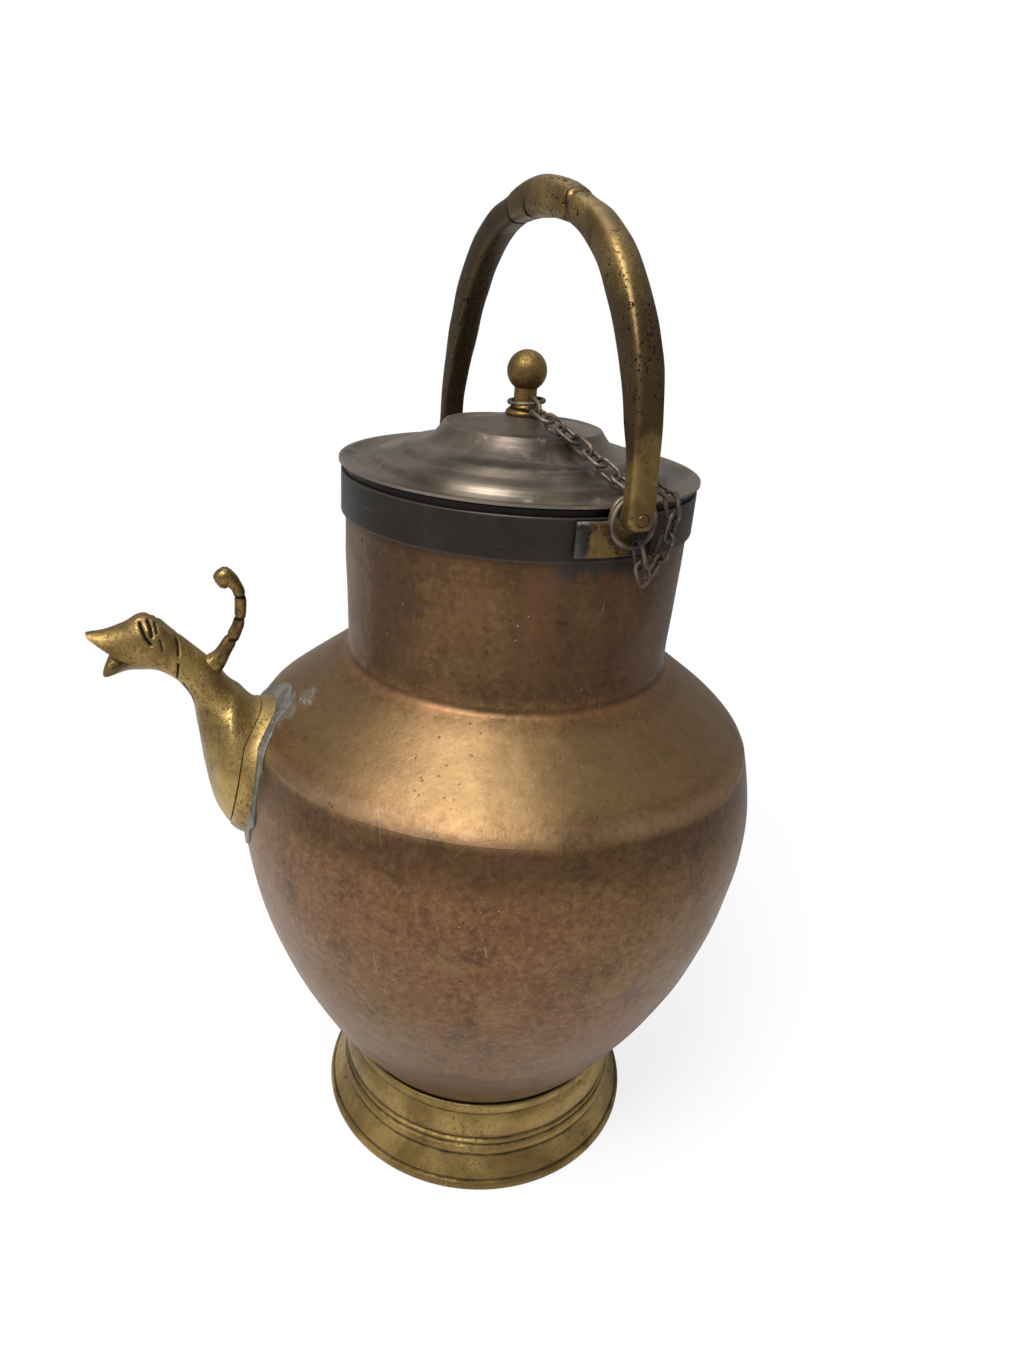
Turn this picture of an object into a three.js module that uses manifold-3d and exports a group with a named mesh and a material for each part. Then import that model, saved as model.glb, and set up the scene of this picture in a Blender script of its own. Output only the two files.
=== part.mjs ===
// Copper water jug with a swinging bail, an animal-head spout and a lift-off lid on a chain.
// Millimetres, +Z up. The jug stands on its foot ring at z = 0, and the origin is the middle of
// the whole outline in plan, so the jug's own axis lies a little to the +X side of it.
import * as THREE from 'three';
import { mergeVertices } from 'three/addons/utils/BufferGeometryUtils.js';
import Module from 'manifold-3d';

const wasm = await Module();
wasm.setup();

// Driving dimensions: radii and heights of the vessel, on the jug's axis
const FACETS = 36;
const FIT = 0.3;
const COPPER_WALL = 1.5;
const FOOT_R = 90.5;
const FOOT_HEIGHT = 49.4;
const FOOT_WALL = 3;
const SEAT_R = 74;
const SEAT_DROP = 2.4;
const FLOOR_R = 62;
const FLOOR_DROP = 7;
const BELLY_R = 134.2;
const BELLY_Z = 206;
const CREASE_R = 127.5;
const CREASE_Z = 249;
const NECK_FOOT_R = 80.2;
const NECK_FOOT_Z = 287.5;
const NECK_TOP_R = 82.4;
const NECK_TOP_Z = 378.8;
const BAND_HEIGHT = 19;
const BAND_DROP = 2.8;
const BAND_THICKNESS = 1.3;

// The lid: a spun cover, a sleeve that enters the neck, and a turned knob
const LID_R = 85;
const LID_SHEET = 1;
const LID_CROWN = 22.7;
const LID_DROP = 24.4;
const SLEEVE_DEPTH = 14;
const SLEEVE_SHEET = 1;
const SLEEVE_PLAY = 0.8;
const KNOB_BALL_R = 9.2;
const KNOB_STEM_R = 5.2;
const KNOB_HEIGHT = 29.1;
const KNOB_SHANK_R = 2.6;

// The bail and its two lugs, in a frame whose X runs along the hinge line
const BAIL_AZIMUTH = -78;
const BAIL_OFFSET = 4.3;
const HINGE_Z = 378.4;
const BAIL_FOOT_X = 95.6;
const BAIL_FOOT_THICKNESS = 8;
const BAIL_FOOT_WIDTH = 12;
const BAIL_FOOT_DROP = 5;
const LUG_HALF_ANGLE = 11;
const LUG_HEIGHT = 15.4;
const LUG_DROP = 0.9;
const LUG_THICKNESS = 2;
const EAR_R = 7;
const EAR_THICKNESS = 2.1;
const EAR_PROUD = 1;
const PIN_R = 2.5;
const BOSS_R = 4.2;
const BOSS_LENGTH = 2.8;

// The spout: a cast horn that leaves the belly, turns up and ends in an open-mouthed head
const SPOUT_Z = 226.5;
const SPOUT_WALL = 2.8;
const SPOUT_SINK = 5;
const SPOUT_COLLAR_WIDTH = 7;
const SPOUT_HOLE_R = 16;
const SOLDER_SPREAD = 4.5;
const SOLDER_THICKNESS = 2.2;

// The chain of welded wire links and the ring that holds its end
const LINK_LENGTH = 14.4;
const LINK_WIDTH = 8;
const LINK_WIRE = 1.85;
const LINK_SLACK = 1.8;
const RING_R = 10.3;
const RING_WIRE = 2.3;
const RING_LEAN = 0.035;
const STEM_LOOP_R = 8;

const COPPER = { color: 0x86583c, metalness: 0.9, roughness: 0.42 };
const BRASS = { color: 0x8f7440, metalness: 0.9, roughness: 0.4 };
const BAND_METAL = { color: 0x34312f, metalness: 0.7, roughness: 0.5 };
const LID_METAL = { color: 0x665d55, metalness: 0.75, roughness: 0.5 };
const CHAIN_IRON = { color: 0x50463d, metalness: 0.8, roughness: 0.5 };
const SOLDER = { color: 0x7f8379, metalness: 0.6, roughness: 0.6 };

// Gives a closed geometry outward faces, whatever way round its outline was drawn
function faceOut(geometry) {
  geometry.deleteAttribute('normal');
  geometry.deleteAttribute('uv');
  const closed = mergeVertices(geometry, 1e-4);
  const at = closed.getAttribute('position');
  const index = closed.getIndex();
  const [a, b, c] = [new THREE.Vector3(), new THREE.Vector3(), new THREE.Vector3()];
  let volume = 0;
  for (let i = 0; i < index.count; i += 3) {
    a.fromBufferAttribute(at, index.getX(i));
    b.fromBufferAttribute(at, index.getX(i + 1));
    c.fromBufferAttribute(at, index.getX(i + 2));
    volume += a.dot(b.cross(c));
  }
  if (volume < 0) closed.setIndex([...index.array].reverse());
  return closed;
}

// Turns an outline of [radius, height] points about the Z axis
function spin(outline, facets = FACETS) {
  const points = outline.map(([radius, height]) => new THREE.Vector2(radius, height));
  const geometry = new THREE.LatheGeometry(points, facets);
  geometry.rotateX(Math.PI / 2);
  return faceOut(geometry);
}

// The same outline moved inwards by a wall, with its two ends kept on their own heights
function inset(outline, wall) {
  return outline.map(([radius, height], i) => {
    const [r0, z0] = outline[Math.max(i - 1, 0)];
    const [r1, z1] = outline[Math.min(i + 1, outline.length - 1)];
    const length = Math.hypot(r1 - r0, z1 - z0);
    const atEnd = i === 0 || i === outline.length - 1;
    const across = (wall * (z1 - z0)) / length;
    const down = (wall * (r1 - r0)) / length;
    return [Math.max(radius - across, 0), height + (atEnd ? 0 : down)];
  });
}

// Closes an outer and an inner outline into one wall
function wallOutline(outer, inner) {
  return [...outer, ...[...inner].reverse(), outer[0]];
}

// A solid that runs through stations in the XZ plane. Each station has a centre (x, z), the
// direction of its upper side (nx, nz), a half size along that direction and one along Y.
function sweep(stations, section, closed = false) {
  const vertices = [];
  const faces = [];
  const sides = section.length;
  for (const { x, z, nx, nz, half, halfWidth } of stations) {
    for (const [u, v] of section) {
      vertices.push(x + u * half * nx, v * halfWidth, z + u * half * nz);
    }
  }
  const spans = closed ? stations.length : stations.length - 1;
  for (let i = 0; i < spans; i += 1) {
    const here = i * sides;
    const next = ((i + 1) % stations.length) * sides;
    for (let j = 0; j < sides; j += 1) {
      const k = (j + 1) % sides;
      faces.push(here + j, next + j, next + k, here + j, next + k, here + k);
    }
  }
  if (!closed) {
    const last = (stations.length - 1) * sides;
    for (let j = 1; j < sides - 1; j += 1) {
      faces.push(0, j, j + 1, last, last + j + 1, last + j);
    }
  }
  const geometry = new THREE.BufferGeometry();
  geometry.setAttribute('position', new THREE.Float32BufferAttribute(vertices, 3));
  geometry.setIndex(faces);
  return faceOut(geometry);
}

function roundSection(sides) {
  return Array.from({ length: sides }, (_, i) => {
    const angle = (2 * Math.PI * (i + 0.5)) / sides;
    return [Math.cos(angle), Math.sin(angle)];
  });
}

function solid(geometry) {
  const vertProperties = Float32Array.from(geometry.getAttribute('position').array);
  const triVerts = Uint32Array.from(geometry.getIndex().array);
  return new wasm.Manifold(new wasm.Mesh({ numProp: 3, vertProperties, triVerts }));
}

function shape(manifold) {
  const { vertProperties, triVerts } = manifold.getMesh();
  const geometry = new THREE.BufferGeometry();
  geometry.setAttribute('position', new THREE.BufferAttribute(vertProperties, 3));
  geometry.setIndex(new THREE.BufferAttribute(triVerts, 1));
  return geometry;
}

function named(name, geometry, finish) {
  const mesh = new THREE.Mesh(geometry, new THREE.MeshStandardMaterial(finish));
  mesh.name = name;
  return mesh;
}

// The vessel's outer outline, in three stretches: bowl, shoulder and neck
const SEAT_Z = FOOT_HEIGHT - SEAT_DROP;
const FLOOR_Z = SEAT_Z - FLOOR_DROP;

function curvePoints(curve, divisions) {
  return curve.getPoints(divisions).map((point) => [point.x, point.y]);
}

function bowlOutline() {
  const flank = BELLY_Z - SEAT_Z;
  const swell = BELLY_R - SEAT_R;
  const lower = new THREE.CubicBezierCurve(
    new THREE.Vector2(SEAT_R, SEAT_Z),
    new THREE.Vector2(SEAT_R + 0.36 * swell, SEAT_Z + 0.17 * flank),
    new THREE.Vector2(BELLY_R, BELLY_Z - 0.41 * flank),
    new THREE.Vector2(BELLY_R, BELLY_Z),
  );
  const upper = new THREE.QuadraticBezierCurve(
    new THREE.Vector2(BELLY_R, BELLY_Z),
    new THREE.Vector2(BELLY_R, (BELLY_Z + CREASE_Z) / 2),
    new THREE.Vector2(CREASE_R, CREASE_Z),
  );
  return [...curvePoints(lower, 9), ...curvePoints(upper, 3).slice(1)];
}

function shoulderOutline() {
  const run = CREASE_R - NECK_FOOT_R;
  const climb = NECK_FOOT_Z - CREASE_Z;
  const curve = new THREE.CubicBezierCurve(
    new THREE.Vector2(CREASE_R, CREASE_Z),
    new THREE.Vector2(CREASE_R - 0.1 * run, CREASE_Z + 0.18 * climb),
    new THREE.Vector2(CREASE_R - 0.25 * run, CREASE_Z + 0.3 * climb),
    new THREE.Vector2(NECK_FOOT_R, NECK_FOOT_Z),
  );
  return curvePoints(curve, 6);
}

function neckRadius(height) {
  return THREE.MathUtils.mapLinear(height, NECK_FOOT_Z, NECK_TOP_Z, NECK_FOOT_R, NECK_TOP_R);
}

function neckOutline() {
  return [[NECK_FOOT_R, NECK_FOOT_Z], [NECK_TOP_R, NECK_TOP_Z]];
}

// The space that the vessel fills, grown outwards, to cut what is fixed on it
function vesselSpace(growth) {
  const outline = [...bowlOutline(), ...shoulderOutline().slice(1)];
  const grown = outline.map(([radius, height]) => [radius + growth, height]);
  return solid(spin([[0, SEAT_Z], ...grown, [0, NECK_FOOT_Z]]));
}

function alongX(radius, length, start, sides = 24) {
  const rod = new THREE.CylinderGeometry(radius, radius, length, sides);
  rod.rotateZ(Math.PI / 2);
  rod.translate(start + length / 2, 0, 0);
  return faceOut(rod);
}

// Foot: a cast ring with a rolled rim, a sloping flange, two beads, a swelling band and a lip
function footRing() {
  const band = SEAT_R + 6.3;
  const lip = SEAT_R + 4.6;
  const outer = [
    [FOOT_R, 0],
    [FOOT_R, 2.4],
    [FOOT_R - 1.2, 4.6],
    [FOOT_R - 2.5, 5.8],
    [FOOT_R - 6.3, 12],
    [FOOT_R - 8.9, 16.2],
    [FOOT_R - 8.1, 18.4],
    [FOOT_R - 8.3, 20.8],
    [FOOT_R - 10.3, 23.2],
    [band + 0.3, 24.6],
    [band, 25.8],
    [band - 1.1, 26.8],
    [band, 29],
    [band, 32],
    [band - 0.9, 37],
    [band - 2.9, FOOT_HEIGHT - 8],
    [lip - 1.7, FOOT_HEIGHT - 6.8],
    [lip - 0.3, FOOT_HEIGHT - 5.6],
    [lip, FOOT_HEIGHT - 2.4],
    [lip - 1, FOOT_HEIGHT],
    [SEAT_R + 1.4, FOOT_HEIGHT - 0.9],
  ];
  const inner = [
    [FOOT_R - FOOT_WALL, 0],
    [FOOT_R - FOOT_WALL - 2.5, 4],
    [FOOT_R - FOOT_WALL - 8.6, 13],
    [band - FOOT_WALL - 0.6, 22],
    [band - FOOT_WALL - 0.6, 33],
    [SEAT_R + FIT, FLOOR_Z],
    [SEAT_R + FIT, SEAT_Z - FIT],
  ];
  return named('foot_ring', spin(wallOutline(outer, inner)), BRASS);
}

function lowerBowl(spoutHole) {
  const outer = [[0, FLOOR_Z], [FLOOR_R, FLOOR_Z], [SEAT_R - 2, SEAT_Z - 4.4], ...bowlOutline()];
  const inner = inset(outer, COPPER_WALL);
  inner[0] = [0, FLOOR_Z + COPPER_WALL];
  const bowl = solid(spin([...outer, ...inner.reverse()]));
  return named('lower_bowl', shape(bowl.subtract(spoutHole)), COPPER);
}

function shoulder() {
  const outer = shoulderOutline();
  return named('shoulder', spin(wallOutline(outer, inset(outer, COPPER_WALL))), COPPER);
}

function neck() {
  const outer = neckOutline();
  return named('neck', spin(wallOutline(outer, inset(outer, COPPER_WALL))), COPPER);
}

// Band: a dark strip round the neck, a little below the neck's own edge
const BAND_TOP_Z = NECK_TOP_Z - BAND_DROP;
const BAND_FOOT_Z = BAND_TOP_Z - BAND_HEIGHT;
const BAND_R = neckRadius(BAND_TOP_Z) + FIT + BAND_THICKNESS;

function rimBand() {
  const outline = [
    [neckRadius(BAND_FOOT_Z) + FIT, BAND_FOOT_Z],
    [BAND_R, BAND_FOOT_Z],
    [BAND_R, BAND_TOP_Z],
    [neckRadius(BAND_TOP_Z) + FIT, BAND_TOP_Z],
  ];
  return named('rim_band', spin([...outline, outline[0]]), BAND_METAL);
}

// Lid cover from its crown to its rim, on the top side, with heights counted from its seat
const LID_SEAT_R = NECK_TOP_R - COPPER_WALL / 2;

// The cover's rings as shares of its radius and of its drop below the crown
const LID_RINGS = [[0.26, 0.074], [0.4, 0.205], [0.46, 0.295], [0.51, 0.443], [0.57, 0.557],
  [0.61, 0.607], [0.66, 0.623], [0.72, 0.697], [0.78, 0.836], [0.83, 0.967], [0.87, 1],
  [0.93, 0.975], [1, 0.893]];

function lidTopOutline() {
  return [
    [0, LID_CROWN],
    [KNOB_STEM_R + 4.3, LID_CROWN],
    ...LID_RINGS.map(([share, drop]) => [share * LID_R, LID_CROWN - drop * LID_DROP]),
  ];
}

function lidHeightAt(radius) {
  const outline = lidTopOutline();
  const i = Math.max(outline.findIndex(([r]) => r >= radius), 1);
  const [[r0, z0], [r1, z1]] = [outline[i - 1], outline[i]];
  return THREE.MathUtils.mapLinear(radius, r0, r1, z0, z1);
}

// The height at which the cover's own zero lies when its underside rests on the neck's edge
const LID_Z = NECK_TOP_Z + FIT + LID_SHEET - lidHeightAt(LID_SEAT_R);

function lidCover() {
  const top = lidTopOutline();
  const under = top.map(([radius, height]) => [radius, height - LID_SHEET]);
  const hole = KNOB_SHANK_R + FIT;
  top[0] = [hole, lidHeightAt(hole)];
  under[0] = [hole, lidHeightAt(hole) - LID_SHEET];
  const cover = named('lid_cover', spin(wallOutline(top, under)), LID_METAL);
  cover.position.z = LID_Z;
  return cover;
}

function lidSleeve() {
  const outerR = NECK_TOP_R - COPPER_WALL - SLEEVE_PLAY;
  const innerR = outerR - SLEEVE_SHEET;
  const top = LID_Z + lidHeightAt(0.87 * LID_R) - LID_SHEET - FIT;
  const foot = NECK_TOP_Z - SLEEVE_DEPTH;
  const outline = [[innerR, foot], [outerR, foot], [outerR, top], [innerR, top], [innerR, foot]];
  return named('lid_sleeve', spin(outline), LID_METAL);
}

// Knob: a turned ball, stem and flange, whose shank passes the cover and is peened below it
function knob() {
  const ballZ = KNOB_HEIGHT - KNOB_BALL_R;
  const neckAngle = Math.asin(KNOB_STEM_R / KNOB_BALL_R);
  const ball = [];
  const steps = 7;
  for (let i = 0; i <= steps; i += 1) {
    const angle = neckAngle + ((Math.PI - neckAngle) * i) / steps;
    ball.push([KNOB_BALL_R * Math.sin(angle), ballZ - KNOB_BALL_R * Math.cos(angle)]);
  }
  ball[steps] = [0, KNOB_HEIGHT];
  const peenTop = -LID_SHEET - FIT;
  const outline = [
    [0, peenTop - 1.8],
    [KNOB_SHANK_R + 1, peenTop - 1.8],
    [KNOB_SHANK_R + 1.9, peenTop - 0.8],
    [KNOB_SHANK_R + 1.9, peenTop],
    [KNOB_SHANK_R, peenTop],
    [KNOB_SHANK_R, FIT],
    [KNOB_STEM_R + 3.3, FIT],
    [KNOB_STEM_R + 3.3, 2.2],
    [KNOB_STEM_R + 1.6, 3.6],
    [KNOB_STEM_R + 0.2, 5.4],
    [KNOB_STEM_R, 7.4],
    ...ball,
  ];
  const mesh = named('knob', spin(outline, 24), BRASS);
  mesh.position.z = LID_Z + LID_CROWN;
  return mesh;
}

// Reach past the belly of a point on the vessel's wall, at a height over the spout's root
function wallReachAt(rise) {
  const outline = [...bowlOutline(), ...shoulderOutline().slice(1)];
  const i = Math.max(outline.findIndex(([, height]) => height >= SPOUT_Z + rise), 1);
  const [[r0, z0], [r1, z1]] = [outline[i - 1], outline[i]];
  return THREE.MathUtils.mapLinear(SPOUT_Z + rise, z0, z1, r0, r1) - BELLY_R;
}

// The spout's ribs, in the plane of the spout. Each row holds the point on its upper side and
// the point on its under side, as reach past the belly and height over the spout's root, and
// the half width across the plane. The first two follow the vessel's wall.
const SPOUT_RIBS = [
  [wallReachAt(35) - SPOUT_SINK, 35, wallReachAt(-35) - SPOUT_SINK, -35, 36],
  [wallReachAt(34) + SPOUT_COLLAR_WIDTH + 2, 34, wallReachAt(-31) + SPOUT_COLLAR_WIDTH - 2, -31, 33],
  [-0.8, 42.2, 12.6, -17.6, 28],
  [2.4, 45.2, 16.8, 0.4, 21.5],
  [5.2, 48.5, 19.2, 22.1, 16],
  [8.5, 53.8, 21, 37.6, 12.8],
  [15, 60.9, 26.1, 47.4, 11.2],
  [21.4, 66.9, 31.6, 52.1, 10.8],
  [29.4, 74.2, 37, 54.5, 11.2],
  [40, 81.6, 42.8, 54.6, 11],
  [49.3, 77.4, 48.7, 54.1, 9.8],
  [57, 74.4, 57.2, 51, 8.4],
  [65.4, 73.2, 64.6, 49, 6],
];
const BEAK_TIP = [64.4, 73.5];
const MOUTH_CORNER = [48.6, 61.5];
const JAW_TIP = [56.8, 50.6];

// The tail's ribs, written the same way: it rises behind the neck and curls over to a bud
const TAIL_RIBS = [
  [10.5, 45, 19, 54, 7],
  [7, 51.4, 14.4, 59, 5.2],
  [4.8, 55.5, 9.9, 62, 4.6],
  [1.3, 62.6, 5.9, 67.6, 3.7],
  [-2.2, 69.2, 2.6, 72.7, 3.2],
  [-4.9, 76.5, 0.2, 78.3, 3],
  [-5.9, 83.9, -0.6, 84.8, 3],
  [-6, 90, -0.4, 89.3, 3.1],
  [-4.1, 96.1, 0.4, 92.5, 3.4],
  [-0.8, 101.2, 2, 94.1, 4],
  [2.8, 103.6, 3.5, 93.6, 4.6],
  [6.2, 102.4, 5.3, 94.3, 4],
  [8.2, 100, 7.5, 96.8, 2.2],
];

function ribStation([upperX, upperZ, lowerX, lowerZ, halfWidth], growth) {
  const height = Math.hypot(upperX - lowerX, upperZ - lowerZ);
  return {
    x: BELLY_R + (upperX + lowerX) / 2,
    z: SPOUT_Z + (upperZ + lowerZ) / 2,
    nx: (upperX - lowerX) / height,
    nz: (upperZ - lowerZ) / height,
    half: height / 2 + growth,
    halfWidth: halfWidth + growth,
  };
}

function ribbed(ribs, growth, sides) {
  const stations = ribs.map((rib) => ribStation(rib, growth));
  return solid(sweep(stations, roundSection(sides)));
}

// The open mouth, seen from the side: beak above, jaw below, and the corner between them
function mouthCut() {
  const ahead = BEAK_TIP[0] + 30;
  const pastJaw = new THREE.Vector2(...MOUTH_CORNER).lerp(new THREE.Vector2(...JAW_TIP), 1.8);
  const notch = new THREE.Shape([
    new THREE.Vector2(BEAK_TIP[0], BEAK_TIP[1] - 2),
    new THREE.Vector2(...MOUTH_CORNER),
    pastJaw,
    new THREE.Vector2(ahead, pastJaw.y),
    new THREE.Vector2(ahead, BEAK_TIP[1] + 30),
    new THREE.Vector2(BEAK_TIP[0], BEAK_TIP[1] + 30),
  ]);
  const block = new THREE.ExtrudeGeometry(notch, { depth: 60, bevelEnabled: false });
  block.translate(BELLY_R, SPOUT_Z, -30);
  block.rotateX(Math.PI / 2);
  return solid(faceOut(block));
}

function spoutParts() {
  const sides = 20;
  const horn = ribbed(SPOUT_RIBS, 0, sides);
  const bore = ribbed(SPOUT_RIBS, -SPOUT_WALL, sides);
  const hollowHorn = horn.subtract(bore);
  const collarSpace = vesselSpace(SPOUT_COLLAR_WIDTH);
  const vessel = vesselSpace(FIT);
  const spout = hollowHorn.subtract(vesselSpace(SPOUT_COLLAR_WIDTH + FIT)).subtract(mouthCut());
  const collar = hollowHorn.intersect(collarSpace).subtract(vessel);
  const solder = ribbed(SPOUT_RIBS.slice(0, 4), SOLDER_SPREAD, sides)
    .intersect(vesselSpace(SOLDER_THICKNESS))
    .subtract(ribbed(SPOUT_RIBS, FIT, sides))
    .subtract(vessel);
  const tail = ribbed(TAIL_RIBS, 0, 10).subtract(ribbed(SPOUT_RIBS, FIT, sides));
  return [
    named('spout', shape(spout), BRASS),
    named('spout_collar', shape(collar), BRASS),
    named('spout_solder', shape(solder), SOLDER),
    named('spout_tail', shape(tail), BRASS),
  ];
}

// The hole in the belly wall that the spout draws from
function spoutHole() {
  const hole = alongX(SPOUT_HOLE_R, 30, BELLY_R - 20);
  hole.translate(0, 0, SPOUT_Z);
  return solid(hole);
}

// Bail: an arch in its own XZ plane with the hinge line as X and the hinge height as zero
const BAIL_SECTION = [[1, 0.62], [1, -0.62], [0.45, -1], [-0.55, -1],
  [-1, -0.6], [-1, 0.6], [-0.55, 1], [0.45, 1]];

// The arch's ribs along its middle line: along the hinge line, rise over it, half thickness and
// half width. It is thickest at its shoulders and at the grip, and thin beside each lug.
const footHalf = BAIL_FOOT_THICKNESS / 2;
const BAIL_RIBS = [
  [-BAIL_FOOT_X, 0, footHalf, BAIL_FOOT_WIDTH / 2],
  [-94.4, 20, footHalf, 6],
  [-89.6, 39, 5.2, 6.2],
  [-83.4, 56.5, 6.6, 6.6],
  [-75.4, 74.5, 7.4, 6.9],
  [-62, 92.5, 7.6, 7],
  [-45, 105.5, 7, 6.8],
  [-30, 111, 6.2, 6.4],
  [-15, 114.8, 7.3, 6.8],
  [0, 116.1, 7.9, 7],
  [15, 114.5, 7.2, 6.8],
  [30, 110.4, 6.2, 6.4],
  [46, 103.6, 7, 6.8],
  [62, 91.6, 7.8, 7],
  [76.5, 73.5, 7.8, 7],
  [85.6, 56, 7.2, 6.8],
  [90.8, 38, 6, 6.4],
  [94.4, 20, footHalf, 6.2],
  [BAIL_FOOT_X, 0, footHalf, BAIL_FOOT_WIDTH / 2],
];

function splineThrough(points) {
  return new THREE.CatmullRomCurve3(points, false, 'centripetal');
}

function bailArch() {
  const middle = splineThrough(BAIL_RIBS.map(([x, z]) => new THREE.Vector3(x, 0, z)));
  const sizes = splineThrough(BAIL_RIBS.map(([x, , half, width]) => new THREE.Vector3(x, half, width)));
  const steps = 2 * (BAIL_RIBS.length - 1);
  const arch = [];
  for (let i = 0; i <= steps; i += 1) {
    const { x, z } = middle.getPoint(i / steps);
    const { y: half, z: halfWidth } = sizes.getPoint(i / steps);
    arch.push({ x, z, half, halfWidth });
  }
  const foot = (side, drop, widthShare) => ({
    x: side * BAIL_FOOT_X, z: -drop, half: footHalf, halfWidth: (widthShare * BAIL_FOOT_WIDTH) / 2,
  });
  const shares = [[0.7 * BAIL_FOOT_DROP, 0.8], [BAIL_FOOT_DROP, 0.5]];
  const near = shares.map(([drop, share]) => foot(1, drop, share));
  const far = shares.map(([drop, share]) => foot(-1, drop, share)).reverse();
  const stations = [...far, ...arch, ...near];
  const directed = stations.map((station, i) => {
    const before = stations[Math.max(i - 1, 0)];
    const after = stations[Math.min(i + 1, stations.length - 1)];
    const [dx, dz] = [after.x - before.x, after.z - before.z];
    const length = Math.hypot(dx, dz);
    return { ...station, nx: -dz / length, nz: dx / length };
  });
  const pinHole = alongX(PIN_R + FIT, 2 * BAIL_FOOT_X + 30, -BAIL_FOOT_X - 15, 16);
  const bail = solid(sweep(directed, BAIL_SECTION)).subtract(solid(pinHole));
  return named('bail', shape(bail), BRASS);
}

// Lug: a block bent round the band, an ear that rises behind the bail's foot, and a boss
const EAR_FACE = BAND_R + FIT + LUG_THICKNESS + EAR_PROUD;
const LUG_TOP_Z = BAND_TOP_Z - LUG_DROP;

function lugBlock(axisY) {
  const half = THREE.MathUtils.degToRad(LUG_HALF_ANGLE);
  const inner = BAND_R + FIT;
  const outer = inner + LUG_THICKNESS;
  const outline = new THREE.Shape();
  outline.absarc(0, 0, outer, -half, half, false);
  outline.absarc(0, 0, inner, half, -half, true);
  const options = { depth: LUG_HEIGHT, bevelEnabled: false, curveSegments: 10 };
  const block = new THREE.ExtrudeGeometry(outline, options);
  block.translate(0, axisY, LUG_TOP_Z - LUG_HEIGHT - HINGE_Z);
  return solid(faceOut(block));
}

function lug(name, axisY) {
  const earStart = EAR_FACE - EAR_THICKNESS;
  const ear = solid(alongX(EAR_R, EAR_THICKNESS, earStart, 20));
  const webDepth = HINGE_Z - LUG_TOP_Z + 2;
  const web = new THREE.BoxGeometry(EAR_THICKNESS, 2 * EAR_R, webDepth);
  web.translate(earStart + EAR_THICKNESS / 2, 0, -webDepth / 2);
  const bandSpace = solid(spin([[0, -60], [BAND_R + FIT, -60], [BAND_R + FIT, 30], [0, 30]]));
  const body = lugBlock(axisY)
    .add(ear)
    .add(solid(faceOut(web)))
    .add(solid(alongX(BOSS_R, BOSS_LENGTH + 1, EAR_FACE - 1, 16)))
    .subtract(bandSpace.translate([0, axisY, 0]))
    .subtract(solid(alongX(PIN_R + FIT, 40, EAR_FACE - 20, 16)));
  return named(name, shape(body), BRASS);
}

function pin(name) {
  const start = EAR_FACE - EAR_THICKNESS + FIT;
  return named(name, alongX(PIN_R, BAIL_FOOT_X + footHalf - start, start, 16), BRASS);
}

// A closed wire loop of two straight sides and two round ends, lying in the XZ plane
function wireLoop(length, width, wire) {
  const bend = (width - wire) / 2;
  const straight = (length - width) / 2;
  const endSteps = 6;
  const stations = [];
  for (const side of [1, -1]) {
    for (let i = 0; i <= endSteps; i += 1) {
      const angle = side > 0 ? -Math.PI / 2 + (Math.PI * i) / endSteps
        : Math.PI / 2 + (Math.PI * i) / endSteps;
      const [nx, nz] = [Math.cos(angle), Math.sin(angle)];
      const x = side * straight + bend * nx;
      stations.push({ x, z: bend * nz, nx, nz, half: wire / 2, halfWidth: wire / 2 });
    }
  }
  return sweep(stations, roundSection(6), true);
}

function wireRing(radius, wire, steps = 24) {
  const stations = Array.from({ length: steps }, (_, i) => {
    const angle = (2 * Math.PI * i) / steps;
    const [nx, nz] = [Math.cos(angle), Math.sin(angle)];
    return { x: radius * nx, z: radius * nz, nx, nz, half: wire / 2, halfWidth: wire / 2 };
  });
  return sweep(stations, roundSection(6), true);
}

// The chain's route in the hinge frame: along the hinge line, across it, and the height over
// the hinge. The first stretch lies on the lid, crosses its rim and hangs beside the lug.
const PITCH = LINK_LENGTH - 2 * LINK_WIRE - LINK_SLACK;

function overLid(along, across, lift) {
  const radius = Math.hypot(along, across + BAIL_OFFSET);
  return new THREE.Vector3(along, across, LID_Z + lidHeightAt(radius) + lift - HINGE_Z);
}

function chainRoute() {
  return splineThrough([
    overLid(8.7, -5, 6.4),
    overLid(14, -6, 5.6),
    overLid(22, -6, 4.4),
    overLid(34, -3.4, 4.6),
    overLid(44, 1, 5.8),
    overLid(58, 4.2, 5),
    overLid(66, 8, 5.4),
    overLid(73, 12.6, 5.2),
    new THREE.Vector3(78, 17.6, 9.2),
    new THREE.Vector3(84, 22, 6.6),
    new THREE.Vector3(86.6, 24, -1),
    new THREE.Vector3(86, 23.4, -10),
    new THREE.Vector3(85.1, 21.4, -19),
    new THREE.Vector3(84.8, 17.6, -27),
    new THREE.Vector3(83.9, 14.6, -31),
  ]);
}

// Joints between links, stepped along the route so that each link spans one pitch exactly
function chainJoints() {
  const samples = chainRoute().getPoints(1200);
  const joints = [samples[0]];
  for (const sample of samples) {
    if (sample.distanceTo(joints[joints.length - 1]) >= PITCH) joints.push(sample);
  }
  return joints;
}

// Lays one link between two joints, with its width along the given direction
function placeLink(name, from, to, across) {
  const along = to.clone().sub(from).normalize();
  const normal = new THREE.Vector3().crossVectors(across, along).normalize();
  const width = new THREE.Vector3().crossVectors(along, normal);
  const link = named(name, wireLoop(LINK_LENGTH, LINK_WIDTH, LINK_WIRE), CHAIN_IRON);
  link.quaternion.setFromRotationMatrix(new THREE.Matrix4().makeBasis(along, normal, width));
  link.position.copy(from).add(to).multiplyScalar(0.5);
  return link;
}

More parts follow.
